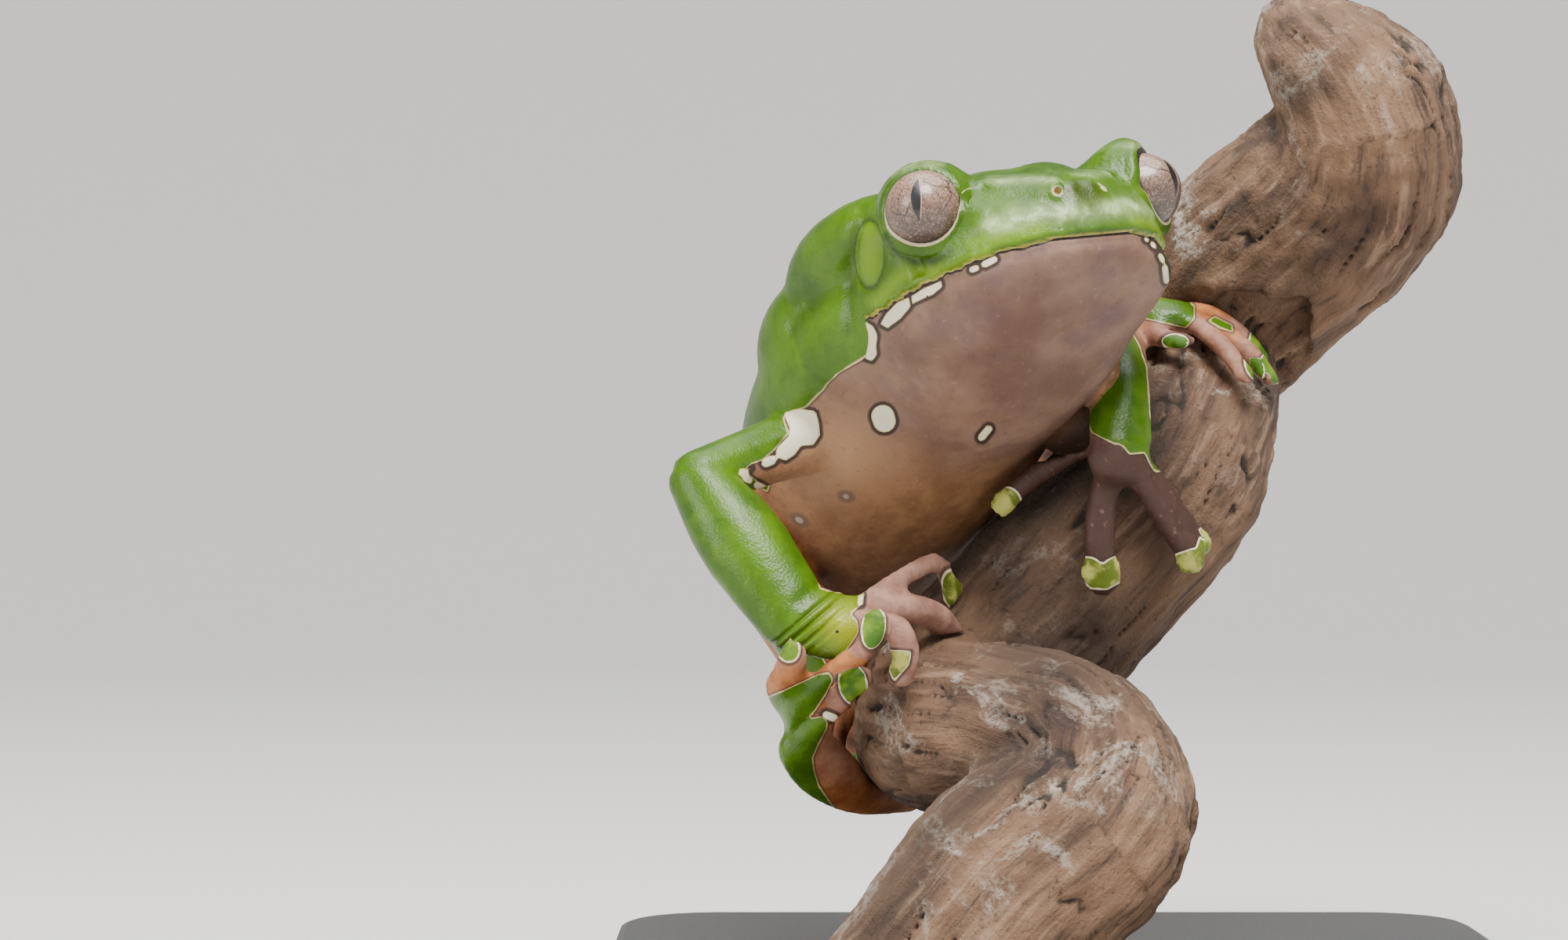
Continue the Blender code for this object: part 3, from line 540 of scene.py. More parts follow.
def sculpt(skin):
    axes, _, above, nostril, drum, _ = on_face(places(skin))
    on_mouth = round_mouth(axes, -2.0) & (np.abs(above) < 1.3)
    on_drum = (drum < 1.5) & (axes[:, 2] >= 2) & (axes[:, 0] <= 14) & (axes[:, 0] >= -2)
    relax(skin, CALM_ROUNDS, (on_mouth | (nostril < 2.2) | on_drum).astype(float), back=0.0)

    for level, (eye_reach, wrist_reach, turned) in enumerate(REFINED):
        spots = places(skin)
        wanted = np.zeros(len(spots), bool)
        for side in (-1, 1):
            far, off, turn = eye_angles(spots, side)
            wanted |= (far < eye_reach) & ((np.abs(off - opening(turn)) < 11) if level else (off < 125))
        wanted |= (length(spots - np.array(WRIST_RIGHT)) < wrist_reach) & (outwards(skin)[:, 1] < turned)
        if level == 0:
            axes, _, above, nostril = on_face(spots)[:4]
            wanted |= (np.abs(above) < 1.5) & round_mouth(axes, -2.5)
            wanted |= nostril < 1.6
        refine(skin, wanted)
    spots, normals = places(skin), outwards(skin)
    for side in (-1, 1):
        shape_eye(spots, normals, side)
    set_places(skin, spots)

    spots = places(skin)
    pixel = seen_at(spots)
    on_head = smooth(-2.0, 2.0, on_head_axes(spots)[:, 0])
    for across, down, reach, sideways, upwards in NUDGES:
        share = on_head * patch(pixel, (across, down), reach)
        spots[:, 0] += sideways * share
        spots[:, 2] += upwards * share
    set_places(skin, spots)

    spots, normals = places(skin), outwards(skin)
    spots += normals * lips(spots)[:, None]
    spots += normals * features(spots)[:, None]
    set_places(skin, spots)

    spots, normals = places(skin), outwards(skin)
    spots += normals * wrist_folds(spots, normals)[:, None]
    set_places(skin, spots)


def spare_the_front(skin, most):
    """Thins the mesh where it faces away from the viewer, down to about this many triangles in all."""
    normals = outwards(skin)
    spots = places(skin)
    count = sum(len(face.vertices) - 2 for face in skin.data.polygons)
    weight = smooth(0.05, 0.35, normals[:, 1]) * (spots[:, 2] < 104)
    group = skin.vertex_groups.new(name="far_side")
    for i in np.flatnonzero(weight > 0.02):
        group.add([int(i)], float(weight[i]), "REPLACE")
    worked(skin, "DECIMATE", ratio=min(most / count, 1.0), vertex_group="far_side", vertex_group_factor=1.0)
    skin.vertex_groups.clear()


# Markings, painted light and painted shade.

LIMBS = {
    "upper_arm_right": ((-25, 5, 82), (-49.3, -13, 72.8), (-0.25, 0.1, 0.95)),
    "forearm_right": ((-49.3, -13, 72.8), (-36.6, -21.5, 55.2), (-0.4, -0.85, 0.2)),
    "hand_right": ((-36.6, -21.5, 55.2), (-29.6, -22.6, 53.6), (-0.3, -0.85, 0.35)),
    "upper_arm_left": ((1.5, 3, 80.5), (7.8, 11.5, 91.5), (0.9, -0.1, 0.2)),
    "forearm_left": ((7.8, 11.5, 91.5), (6.1, -9, 77.6), (0.15, -0.8, 0.5)),
    "hand_left": ((6.1, -9, 77.6), (5.8, -10, 74.8), (0.1, -0.95, 0.2)),
    "thigh_right": ((-31, 42, 49), (-46, 9.5, 70.4), (-0.55, 0.1, 0.8)),
    "shank_right": ((-46, 9.5, 70.4), (-22, 7, 30.6), (-0.8, 0.1, -0.3)),
    "foot_right": ((-22, 7, 30.6), (-35.6, -17.8, 38.8), (-0.7, -0.2, -0.6)),
    "thigh_left": ((-17, 44, 48), (6.5, 58, 78), (-0.2, 0.5, 0.7)),
    "shank_left": ((6.5, 58, 78), (1.5, 26, 101), (0.2, 0.35, 0.9)),
    "foot_left": ((1.5, 26, 101), (16, 11.6, 94.8), (0.0, -0.1, 1.0)),
}

# Each digit's tip, the joint before it, the disc's radius and the way the disc faces.
DISCS = {
    "hand_right": (
        ((-15.9, -4.4, 58.2), (-18.0, -8.0, 61.8), 2.6, (0.75, -0.65, 0.1)),
        ((-16.6, -8.6, 53.0), (-18.6, -13.4, 55.0), 2.5, (-0.3, -0.4, 0.85)),
        ((-23.0, -25.2, 48.8), (-22.6, -25.6, 51.0), 2.1, (0.1, -0.9, 0.3)),
        ((-29.2, -8.5, 44.8), (-29.3, -11.0, 47.4), 2.1, (-0.9, 0.1, 0.3)),
    ),
    "hand_left": (
        ((-8.0, -0.6, 70.2), (-4.4, -2.2, 73.4), 2.3, (-0.5, -0.8, 0.3)),
        ((3.7, -8.2, 61.4), (3.4, -8.6, 64.4), 3.1, (-0.1, -1.0, 0.05)),
        ((15.2, -6.8, 63.0), (13.8, -7.6, 65.2), 2.5, (0.3, -0.95, 0.0)),
        ((17.0, -4.2, 64.8), (14.6, -5.4, 67.8), 2.0, (0.5, -0.85, 0.1)),
    ),
    "foot_right": (
        ((-36.8, -27.2, 50.4), (-37.6, -24.2, 47.6), 2.3, (-0.35, -0.9, 0.1)),
        ((-27.6, -0.6, 44.0), (-29.6, -1.6, 41.6), 2.2, (-0.9, 0.1, 0.4)),
        ((-27.4, -2.4, 49.4), (-29.2, -3.2, 46.8), 2.2, (-0.9, 0.0, 0.3)),
        ((-29.4, -23.4, 46.8), (-31.2, -22.8, 44.6), 2.5, (-0.35, -0.9, 0.1)),
        ((-26.8, -28.4, 53.6), (-28.0, -28.4, 51.2), 2.5, (-0.2, -0.95, 0.1)),
    ),
    "foot_left": (
        ((15.2, 5.6, 91.6), (13.4, 6.2, 91.8), 2.0, (0.1, -0.5, 0.85)),
        ((3.0, 17.0, 87.0), (4.6, 17.5, 90.0), 2.0, (-0.8, -0.3, 0.5)),
        ((23.6, 4.2, 87.6), (21.6, 5.4, 90.4), 2.1, (0.4, -0.6, 0.7)),
        ((27.4, 9.0, 87.6), (25.6, 9.4, 89.8), 2.3, (0.75, -0.4, 0.5)),
        ((26.8, 15.6, 91.0), (24.6, 15.8, 93.0), 2.2, (0.75, -0.2, 0.6)),
    ),
}

TRUNK_YAW, TRUNK_PITCH = 16.0, 43.0
NAPE = (-15.4, -5.5, 92.5)
TRUNK_LENGTH, TRUNK_BOW, TRUNK_SWAY = 66.0, 3.0, 3.6


def on_trunk_axes(spots):
    """Share of the way from nape to vent, and the offset to the left and up of the trunk's bowed line."""
    forward, left = (np.array(way) for way in bearings(TRUNK_YAW, TRUNK_PITCH))
    up = np.cross(forward, left)
    away = spots - np.array(NAPE)
    t = -(away @ forward) / TRUNK_LENGTH
    swell = np.sin(math.pi * np.clip(t, 0, 1))
    return t, away @ left + TRUNK_SWAY * swell, away @ up - TRUNK_BOW * swell


def along_limb(spots, name):
    """Share of the way along the limb's line, and the height over it on its green side."""
    a, b, side = (np.array(v, float) for v in LIMBS[name])
    way = b - a
    t = (spots - a) @ way / (way @ way)
    side = side - way * (side @ way) / (way @ way)
    side /= np.linalg.norm(side)
    return t, (spots - a) @ side


# Where green shows on the front of the limbs: the limbs, and outlines in photograph pixels.
RIGHT_ARM = (
    (830, 560), (900, 500), (990, 480), (1000, 533), (1007, 553), (997, 563), (990, 573), (973, 587),
    (957, 593), (946, 603), (957, 606), (972, 618), (983, 634), (1003, 657), (1021, 688), (1036, 720),
    (1047, 750), (1055, 752), (1073, 755), (1103, 756), (1098, 772), (1085, 783), (1093, 790), (1096, 806),
    (1080, 830), (1057, 848), (1027, 858), (1012, 853), (985, 890), (930, 860), (870, 740), (830, 640),
)
LEFT_FOREARM = (
    (1413, 400), (1413, 437), (1405, 473), (1388, 497), (1384, 513), (1385, 537), (1392, 552), (1407, 560),
    (1422, 567), (1430, 567), (1440, 580), (1460, 578), (1465, 590), (1472, 602), (1480, 602), (1483, 587),
    (1477, 557), (1468, 530), (1466, 497), (1463, 467), (1453, 437), (1445, 423), (1447, 400),
)
RIGHT_SOLE = (
    (1058, 857), (1063, 867), (1053, 887), (1040, 907), (1030, 917), (1048, 913), (1056, 920), (1055, 930),
    (1043, 953), (1037, 967), (1039, 983), (1045, 1002), (1075, 1045), (1020, 1050), (950, 980), (950, 900),
    (1000, 880), (1043, 860),
)
LEFT_TARSUS = (
    (1450, 405), (1450, 385), (1475, 370), (1512, 378), (1524, 390), (1524, 406), (1513, 419), (1480, 411),
)
LEFT_TOE = ((1540, 409), (1549, 403), (1572, 414), (1573, 424), (1556, 419))
GREENS = (
    (("upper_arm_right", "forearm_right", "hand_right"), (RIGHT_ARM,)),
    (("forearm_left", "hand_left"), (LEFT_FOREARM,)),
    (("foot_right",), (RIGHT_SOLE,)), (("foot_left",), (LEFT_TARSUS, LEFT_TOE)),
)


def green_heights(spots, normals):
    """For each part, how far every point lies on its green side of the line where green ends."""
    heights = {}
    pixel = seen_at(spots)
    behind_it = smooth(0.1, 0.5, normals[:, 1])
    axes = on_head_axes(spots)
    f, u = axes[:, 0], axes[:, 2]
    behind = np.interp(f, (-12.7, -9.7, -6.7, -1.8, 0.3, 1.0), (-0.8, 0.2, 0.9, 1.3, 2.0, 4.8))
    heights["head"] = np.where(f < 1.0, u - behind, u - lip_level(f))
    t, _, up = on_trunk_axes(spots)
    heights["torso"] = up + 7.3 - 2.0 * smooth(0.7, 1.0, t)
    for name in LIMBS:
        heights[name] = along_limb(spots, name)[1] + 0.6
    heights["upper_arm_left"] = np.full(len(spots), -3.0)
    heights["hand_right"] = np.minimum(-28.2 - spots[:, 0], heights["hand_right"] + 2.0)
    heights["forearm_left"] += 0.9
    heights["hand_left"] = np.minimum(spots[:, 2] - 76.5, spots[:, 0] - 2.0)
    heights["foot_left"] = np.minimum(heights["foot_left"], (0.62 - along_limb(spots, "foot_left")[0]) * 16)
    for names, outlines in GREENS:
        seen = np.max([drawn(pixel, outline, 0) for outline in outlines], axis=0)
        for name in names:
            heights[name] = seen * (1 - behind_it) + heights[name] * behind_it
    return heights


def keep(thing, name, values):
    """Keeps a value for each vertex under a name, for the materials."""
    layer = thing.data.attributes.new(name, "FLOAT", "POINT")
    layer.data.foreach_set("value", values.astype(np.float32))


def nearest_part(spots):
    """For each row, the number of the part it is nearest to."""
    rows, owner = [], []
    for k, name in enumerate(FLESH):
        node = frame["nodes"][name]
        corners = np.empty(len(node.data.loops), np.int32)
        node.data.loops.foreach_get("vertex_index", corners)
        ends = places(node)
        rows += [ends, ends[corners.reshape(-1, 3)].mean(1)]
        owner += [k] * (len(rows[-1]) + len(ends))
    tree = KDTree(len(owner))
    for i, row in enumerate(np.concatenate(rows)):
        tree.insert(row, i)
    tree.balance()
    owner = np.array(owner)
    return np.array([owner[tree.find(spot)[1]] for spot in spots])


# White patches: a line in photograph pixels with its half width in millimetres, or a closed outline and 0.
WHITES = (
    (((1126, 531), (1128, 537)), 1.4),
    (((1252, 558), (1261, 547)), 0.42),
    (((1000, 527), (1020, 522), (1040, 525), (1044, 540), (1045, 555), (1037, 567), (1022, 568), (1013, 580),
      (1002, 587), (990, 582), (991, 572), (1000, 563), (1007, 556), (1008, 546)), 0),
    (((977, 590), (984, 587)), 0.55), (((946, 602), (951, 603)), 0.42), (((951, 610), (956, 613)), 0.36),
    (((956, 596), (957, 596)), 0.24), (((966, 619), (980, 627)), 0.42),
    (((1104, 411), (1113, 416), (1119, 428), (1117, 440), (1118, 452), (1112, 460), (1104, 457), (1106, 448),
      (1108, 438), (1108, 425)), 0),
    (((1480, 326), (1483, 332)), 0.26), (((1486, 342), (1488, 358)), 0.34),
    (((1098, 760), (1097, 770)), 0.3), (((1054, 912), (1064, 916)), 0.45),
)
JAW_WHITES = (
    (((1124, 413), (1131, 400), (1145, 386), (1159, 380), (1161, 391), (1148, 406), (1132, 418)), 0),
    (((1163, 378), (1179, 368), (1200, 359), (1201, 366), (1190, 375), (1174, 382), (1164, 387)), 0),
    (((1240, 344), (1245, 342)), 0.32), (((1256, 337), (1268, 331)), 0.38),
    (((1462, 305), (1463, 306)), 0.2), (((1470, 311), (1472, 314)), 0.22),
)
DIM_SPOTS = ((1080, 638, 0.65), (1016, 667, 0.8))
DOTS = ((1063, 804, 0.24), (1178, 377, 0.17), (1140, 440, 0.1), (880, 650, 0.1))
# Discs that face the viewer, in photograph pixels: middle, half sizes and lean in degrees, or an outline.
SEEN_DISCS = (
    ("hand_right", (1215, 752, 15, 27, -8)), ("foot_right", (1005, 827, 16, 19, -15)),
    ("foot_right", (1114, 800, 16, 29, 8)), ("foot_right", (1088, 873, 19, 28, -12)),
    ("hand_right", ((1127, 828), (1163, 830), (1160, 848), (1140, 871), (1131, 850))),
    ("hand_left", (1282, 642, 22, 22, 0)),
    ("hand_left", ((1373, 716), (1381, 709), (1393, 710), (1401, 714), (1405, 719), (1413, 713), (1424, 708),
                   (1437, 705), (1438, 722), (1432, 742), (1412, 753), (1390, 752), (1378, 738))),
    ("hand_left", ((1497, 707), (1517, 700), (1525, 698), (1530, 683), (1542, 692), (1543, 717), (1528, 737),
                   (1510, 737), (1500, 723))),
    ("foot_left", (1499, 436, 18, 11, 0)), ("foot_left", (1600, 468, 12, 20, -25)),
)
HIDDEN_SPOTS, SPOTS_APART, SPOT_SIZES = 34, 5.0, (0.4, 1.1)
LEFT_LIP = ((1470, 304), (1482, 318), (1491, 340), (1493, 360), (1488, 380))
EYE_CORNER = ((1227, 246), (1233, 241), (1240, 240))
# Painted shade in gaps between other parts, where neither green nor orange shows: pixel and reach in
# millimetres.
SHADED_GAPS = ((1335, 580, 1.5), (1087, 946, 1.5))
# Soft patches of colour: the middle in photograph pixels and the reach, or half sizes, in millimetres. The
# chest's patch is an orange-tan tint with painted light, and the blot on the snout's front is painted shade.
TOE_KNUCKLE, SOLE, LIT_WARM_CHEST = ((1004.0, 866.0), 2.8), ((1068.0, 962.0), 4.8), ((1075.0, 585.0), 7.0)
BACK_OF_HAND, SNOUT_SHADE_BLOT = ((1080.0, 796.0), 3.2), ((1381.0, 246.0), (2.8, 2.4))
# Painted highlights, painted light and painted shade on the head: strength, half width, and the line in
# photograph pixels.
FACE_LINES = (
    ("gleam", ((0.9, 1.2, ((1262, 288), (1325, 274), (1390, 272))), (0.5, 0.5, ((1262, 231), (1345, 229))),
               (0.4, 0.6, ((1140, 222), (1170, 206), (1200, 207))))),
    ("bright", ((0.9, 1.1, ((1118, 385), (1150, 352), (1215, 347), (1262, 322))),
                (0.8, 0.8, ((1410, 240), (1420, 288))), (0.6, 1.0, ((1240, 310), (1330, 292))),
                (0.6, 1.6, ((1109, 300), (1109, 350))))),
    ("shade", ((0.85, 0.5, ((1130, 300), (1142, 322), (1165, 334), (1192, 333), (1212, 320))),
               (0.55, 0.8, ((1092, 285), (1085, 339), (1081, 420))),
               (0.5, 0.6, ((1372, 240), (1392, 252), (1400, 268))))),
)


def on_disc(pixel, shape):
    """Distance in millimetres inside a disc, which is a leaning oval or an outline."""
    if len(shape) != 5 or not isinstance(shape[0], (int, float)):
        return drawn(pixel, shape, 0)
    across, down, wide, high, lean = shape
    c, q = math.cos(math.radians(lean)), math.sin(math.radians(lean))
    away = (pixel - np.array((across, down))) @ np.array(((c, q), (-q, c))).T
    return (1 - np.hypot(away[:, 0] / wide, away[:, 1] / high)) * min(wide, high) / 10


def scatter(spots, allowed, count, apart):
    """Picks vertices here and there among those allowed, no two nearer than apart."""
    chance = np.random.default_rng(5)
    picked = []
    for i in chance.permutation(np.flatnonzero(allowed)):
        if all(np.linalg.norm(spots[i] - spots[j]) > apart for j in picked):
            picked.append(i)
        if len(picked) == count:
            break
    return picked


def mark(skin):
    """Keeps on the skin where its markings, painted light and painted shade lie: mostly the distance in
    millimetres inside their edges.
    """
    spots, normals = places(skin), outwards(skin)
    names = list(FLESH)
    share = np.zeros((len(spots), len(names)))
    share[np.arange(len(spots)), nearest_part(spots)] = 1.0
    part = dict(zip(names, blur(share, skin, SHARE_ROUNDS).T))
    hands, feet, legs, arms = (sum(part[n] for n in names if n.startswith(kinds)) for kinds in (
        "hand", "foot", ("thigh", "shank"), ("upper_arm", "forearm")))
    pixel = seen_at(spots)
    front = smooth(0.35, 0.1, normals[:, 1])
    axes, pixel_right, above, nostril, drum, cheek = on_face(spots)
    nowhere = np.full(len(spots), NOWHERE)

    heights = green_heights(spots, normals)
    green = sum(part[name] * heights[name] for name in names)
    # The shaded gaps lose their green here and get painted shade further on.
    for *place, reach in SHADED_GAPS:
        green -= 9 * patch(pixel, place, reach)

    # Discs: green pads on top, with a pale rim.
    disc = nowhere
    for tips in DISCS.values():
        for tip, before, radius, facing in tips:
            tip, before, up = (np.array(v, float) for v in (tip, before, facing))
            ahead = (tip - before) / np.linalg.norm(tip - before)
            up = up - ahead * (ahead @ up)
            up /= np.linalg.norm(up)
            away = spots - tip - ahead * radius * 0.35
            flat = np.hypot(away @ ahead / 1.05, away @ np.cross(ahead, up))
            disc = np.maximum(disc, np.minimum(radius + 0.1 - flat, (normals @ up - 0.1) * 2.0)
                              - 9 * (np.abs(away @ up) > 2.5))
    disc = np.where((part["hand_right"] + part["foot_right"] > 0.3) & (front > 0.5), NOWHERE, disc)
    for name, shape in SEEN_DISCS:
        middle = shape[:2] if isinstance(shape[0], (int, float)) else np.mean(shape, axis=0)
        near = (from_seen(spots, pixel, middle) < 4.5) & (from_pixel(pixel, middle) < 4.5)
        disc = np.where(near & (part[name] > 0.3), on_disc(pixel, shape) - 9 * (1 - front), disc)

    white = nowhere
    for shapes, limit in ((WHITES, -nowhere), (JAW_WHITES, -above - 0.12)):
        for points, half in shapes:
            near = from_seen(spots, pixel, np.mean(points, axis=0)) < 5.5
            shape = np.minimum(drawn(pixel, points, half), limit)
            white = np.maximum(white, np.where(near, shape, NOWHERE))
    hidden = (normals[:, 1] > 0.15) & (green < -1.0) & (spots[:, 1] > 4)
    hidden &= part["head"] + hands + feet < 0.2
    chance = np.random.default_rng(11)
    for i in scatter(spots, hidden, HIDDEN_SPOTS, SPOTS_APART):
        white = np.maximum(white, chance.uniform(*SPOT_SIZES) - length(spots - spots[i]))
    dim, dot = (np.max([half - from_seen(spots, pixel, place) for *place, half in marks] + [nowhere], axis=0)
                for marks in (DIM_SPOTS, DOTS))
    left_lip = 0.14 - from_stroke(pixel, LEFT_LIP)
    dot = np.maximum(dot, np.where((axes[:, 0] > 4) & (normals[:, 1] < 0.3), left_lip, NOWHERE))

    # The pale edge of the lids, and painted shade in the socket inside them.
    lid, wet = nowhere, nowhere
    for side in (-1, 1):
        far, off, turn = eye_angles(spots, side)
        past = off - opening(turn)
        low = bell(np.abs(turn) - 180, 70) + 0.6 * bell(turn + 115, 35)
        lid = np.maximum(lid, np.where(far < 6.6, (2.7 * low - 0.8 - past) * 0.1, NOWHERE))
        wet = np.maximum(wet, np.where(far < 6.0, (-0.4 - past) * 0.1, NOWHERE))
    corner = 0.1 - from_stroke(pixel, EYE_CORNER)
    lid = np.maximum(lid, np.where((axes[:, 0] > 10) & (axes[:, 1] < 0), corner, NOWHERE))

    # Painted shade on the left hand and upper arm, in the body's shadow, and in the gaps between parts.
    dusk = np.clip(part["hand_left"] + part["upper_arm_left"], 0, 1)
    for *place, reach in SHADED_GAPS:
        dusk = np.maximum(dusk, patch(pixel, place, reach) * (1 - part["hand_right"]))
    ember = np.maximum(patch(pixel, *TOE_KNUCKLE), 0.6 * smooth(99.0, 103.0, pixel[:, 1] / 10))
    ember -= 0.75 * patch(pixel, *SOLE)
    # Painted shade on the front of the snout between the nostrils.
    blot = from_pixel(pixel_right, *SNOUT_SHADE_BLOT)
    layers = {
        "green": green, "white": white, "disc": disc, "lid": lid, "wet": wet, "dim": dim, "dot": dot,
        "drum": np.where(cheek & (part["head"] > 0.5), drum, -NOWHERE),
        "nostril": nostril,
        "lip": np.where((part["head"] > 0.5) & (axes[:, 0] > 0.5), above, -NOWHERE),
        "digits": hands + feet,
        "hands": hands,
        "hind": np.clip(legs + feet, 0, 1),
        "throat": (1 - smooth(-0.05, 0.42, on_trunk_axes(spots)[0])) * (1 - arms),
        "edge": 1 - part["head"] * smooth(-0.5, 1.0, axes[:, 0]),
        # An orange-tan tint with painted light on the chest by the right arm, on faces towards the viewer.
        "warm": patch(pixel, *LIT_WARM_CHEST) * front,
        "sallow": patch(pixel, *BACK_OF_HAND) * part["hand_right"],
        "olive": part["head"] * smooth(1.15, 0.6, blot) * (axes[:, 0] > 20),
        "dusk": dusk,
        "ember": ember * part["foot_right"],
    }
    # The head's painted highlights, painted light and painted shade, along lines on its right half.
    for name, lines in FACE_LINES:
        best = np.max([strength * bell(from_stroke(pixel_right, line), width)
                       for strength, width, line in lines], axis=0)
        layers[name] = best * part["head"] * (axes[:, 2] > 2)
    for name, values in layers.items():
        keep(skin, name, values)


# Materials.


def operation(name, swapped=False):
    """A method that adds a Math node for two numbers."""
    def act(self, other):
        return self.maths(name, *((other, self) if swapped else (self, other)))
    return act


class Value:
    """A number, colour or vector in a material. Python's operators on a number add Math nodes."""

    def __init__(self, finish, socket):
        self.finish = finish
        self.socket = socket

    def maths(self, name, *values):
        return self.finish.node("ShaderNodeMath", {"operation": name}, dict(enumerate(values)))

    __add__, __radd__ = operation("ADD"), operation("ADD", True)
    __sub__, __rsub__ = operation("SUBTRACT"), operation("SUBTRACT", True)
    __mul__, __rmul__ = operation("MULTIPLY"), operation("MULTIPLY", True)
    __truediv__ = operation("DIVIDE")
    least, most, power = operation("MINIMUM"), operation("MAXIMUM"), operation("POWER")

    def __neg__(self):
        return self * -1.0

    def __abs__(self):
        return self.maths("ABSOLUTE", self)

    def rise(self, low, high):
        """0 below low and 1 above high, with a soft step between. Low may lie above high."""
        settings = {"interpolation_type": "SMOOTHSTEP"}
        return self.finish.node("ShaderNodeMapRange", settings, {0: self, 1: low, 2: high, 3: 0.0, 4: 1.0})


class Finish:
    """A material and the nodes that make it."""

    def __init__(self, name):
        self.material = bpy.data.materials.new(name)
        self.material.use_nodes = True
        self.tree = self.material.node_tree
        self.shader = self.tree.nodes["Principled BSDF"]

    def feed(self, socket, value):
        if isinstance(value, Value):
            self.tree.links.new(value.socket, socket)
        else:
            socket.default_value = value

    def node(self, kind, settings=None, inputs=None, output=0):
        made = self.tree.nodes.new(kind)
        for key, value in (settings or {}).items():
            setattr(made, key, value)
        for key, value in (inputs or {}).items():
            self.feed(made.inputs[key], value)
        return Value(self, made.outputs[output])

    def set(self, **sockets):
        for key, value in sockets.items():
            self.feed(self.shader.inputs[key.replace("_", " ")], value)
        return self.material

    def place(self):
        return self.node("ShaderNodeTexCoord", output="Object")

    def layer(self, name, output="Fac"):
        return self.node("ShaderNodeAttribute", {"attribute_name": name}, output=output)

    def mix(self, share, first, second):
        inputs = {0: share}
        for key, colour in ((6, first), (7, second)):
            inputs[key] = colour if isinstance(colour, Value) else (*colour, 1.0)
        return self.node("ShaderNodeMix", {"data_type": "RGBA"}, inputs, 2)

    def coats(self, colour, *layers):
        """Lays colours over the first, each with its share."""
        for share, over in layers:
            colour = self.mix(share, colour, over)
        return colour

    def vector(self, name, first, second, output=0):
        return self.node("ShaderNodeVectorMath", {"operation": name}, {0: first, 1: second}, output)

    def noise(self, scale, detail=4.0, roughness=0.55, stretch=None, distortion=0.0, place=None, output=0):
        place = place or self.place()
        if stretch:
            place = self.vector("MULTIPLY", place, stretch)
        inputs = {"Vector": place, "Scale": scale, "Detail": detail, "Roughness": roughness,
                  "Distortion": distortion}
        return self.node("ShaderNodeTexNoise", None, inputs, output)

    def cells(self, scale, feature="F1", place=None):
        inputs = {"Vector": place or self.place(), "Scale": scale}
        return self.node("ShaderNodeTexVoronoi", {"feature": feature}, inputs)

    def net(self, scale, place, warp, reach):
        """The distance to the lines of a net of cells whose place wanders."""
        off = self.vector("ADD", self.noise(warp, 2, place=place, output=1), (-0.5, -0.5, -0.5))
        off = self.vector("MULTIPLY", off, (reach,) * 3)
        return self.cells(scale, "DISTANCE_TO_EDGE", self.vector("ADD", place, off))

    def along(self, vector, way):
        """How far the vector reaches along a way."""
        return self.vector("DOT_PRODUCT", vector, way, 1)

    def bump(self, height, distance, strength=1.0, normal=None):
        inputs = {"Height": height, "Distance": distance, "Strength": strength}
        if normal:
            inputs["Normal"] = normal
        return self.node("ShaderNodeBump", None, inputs)


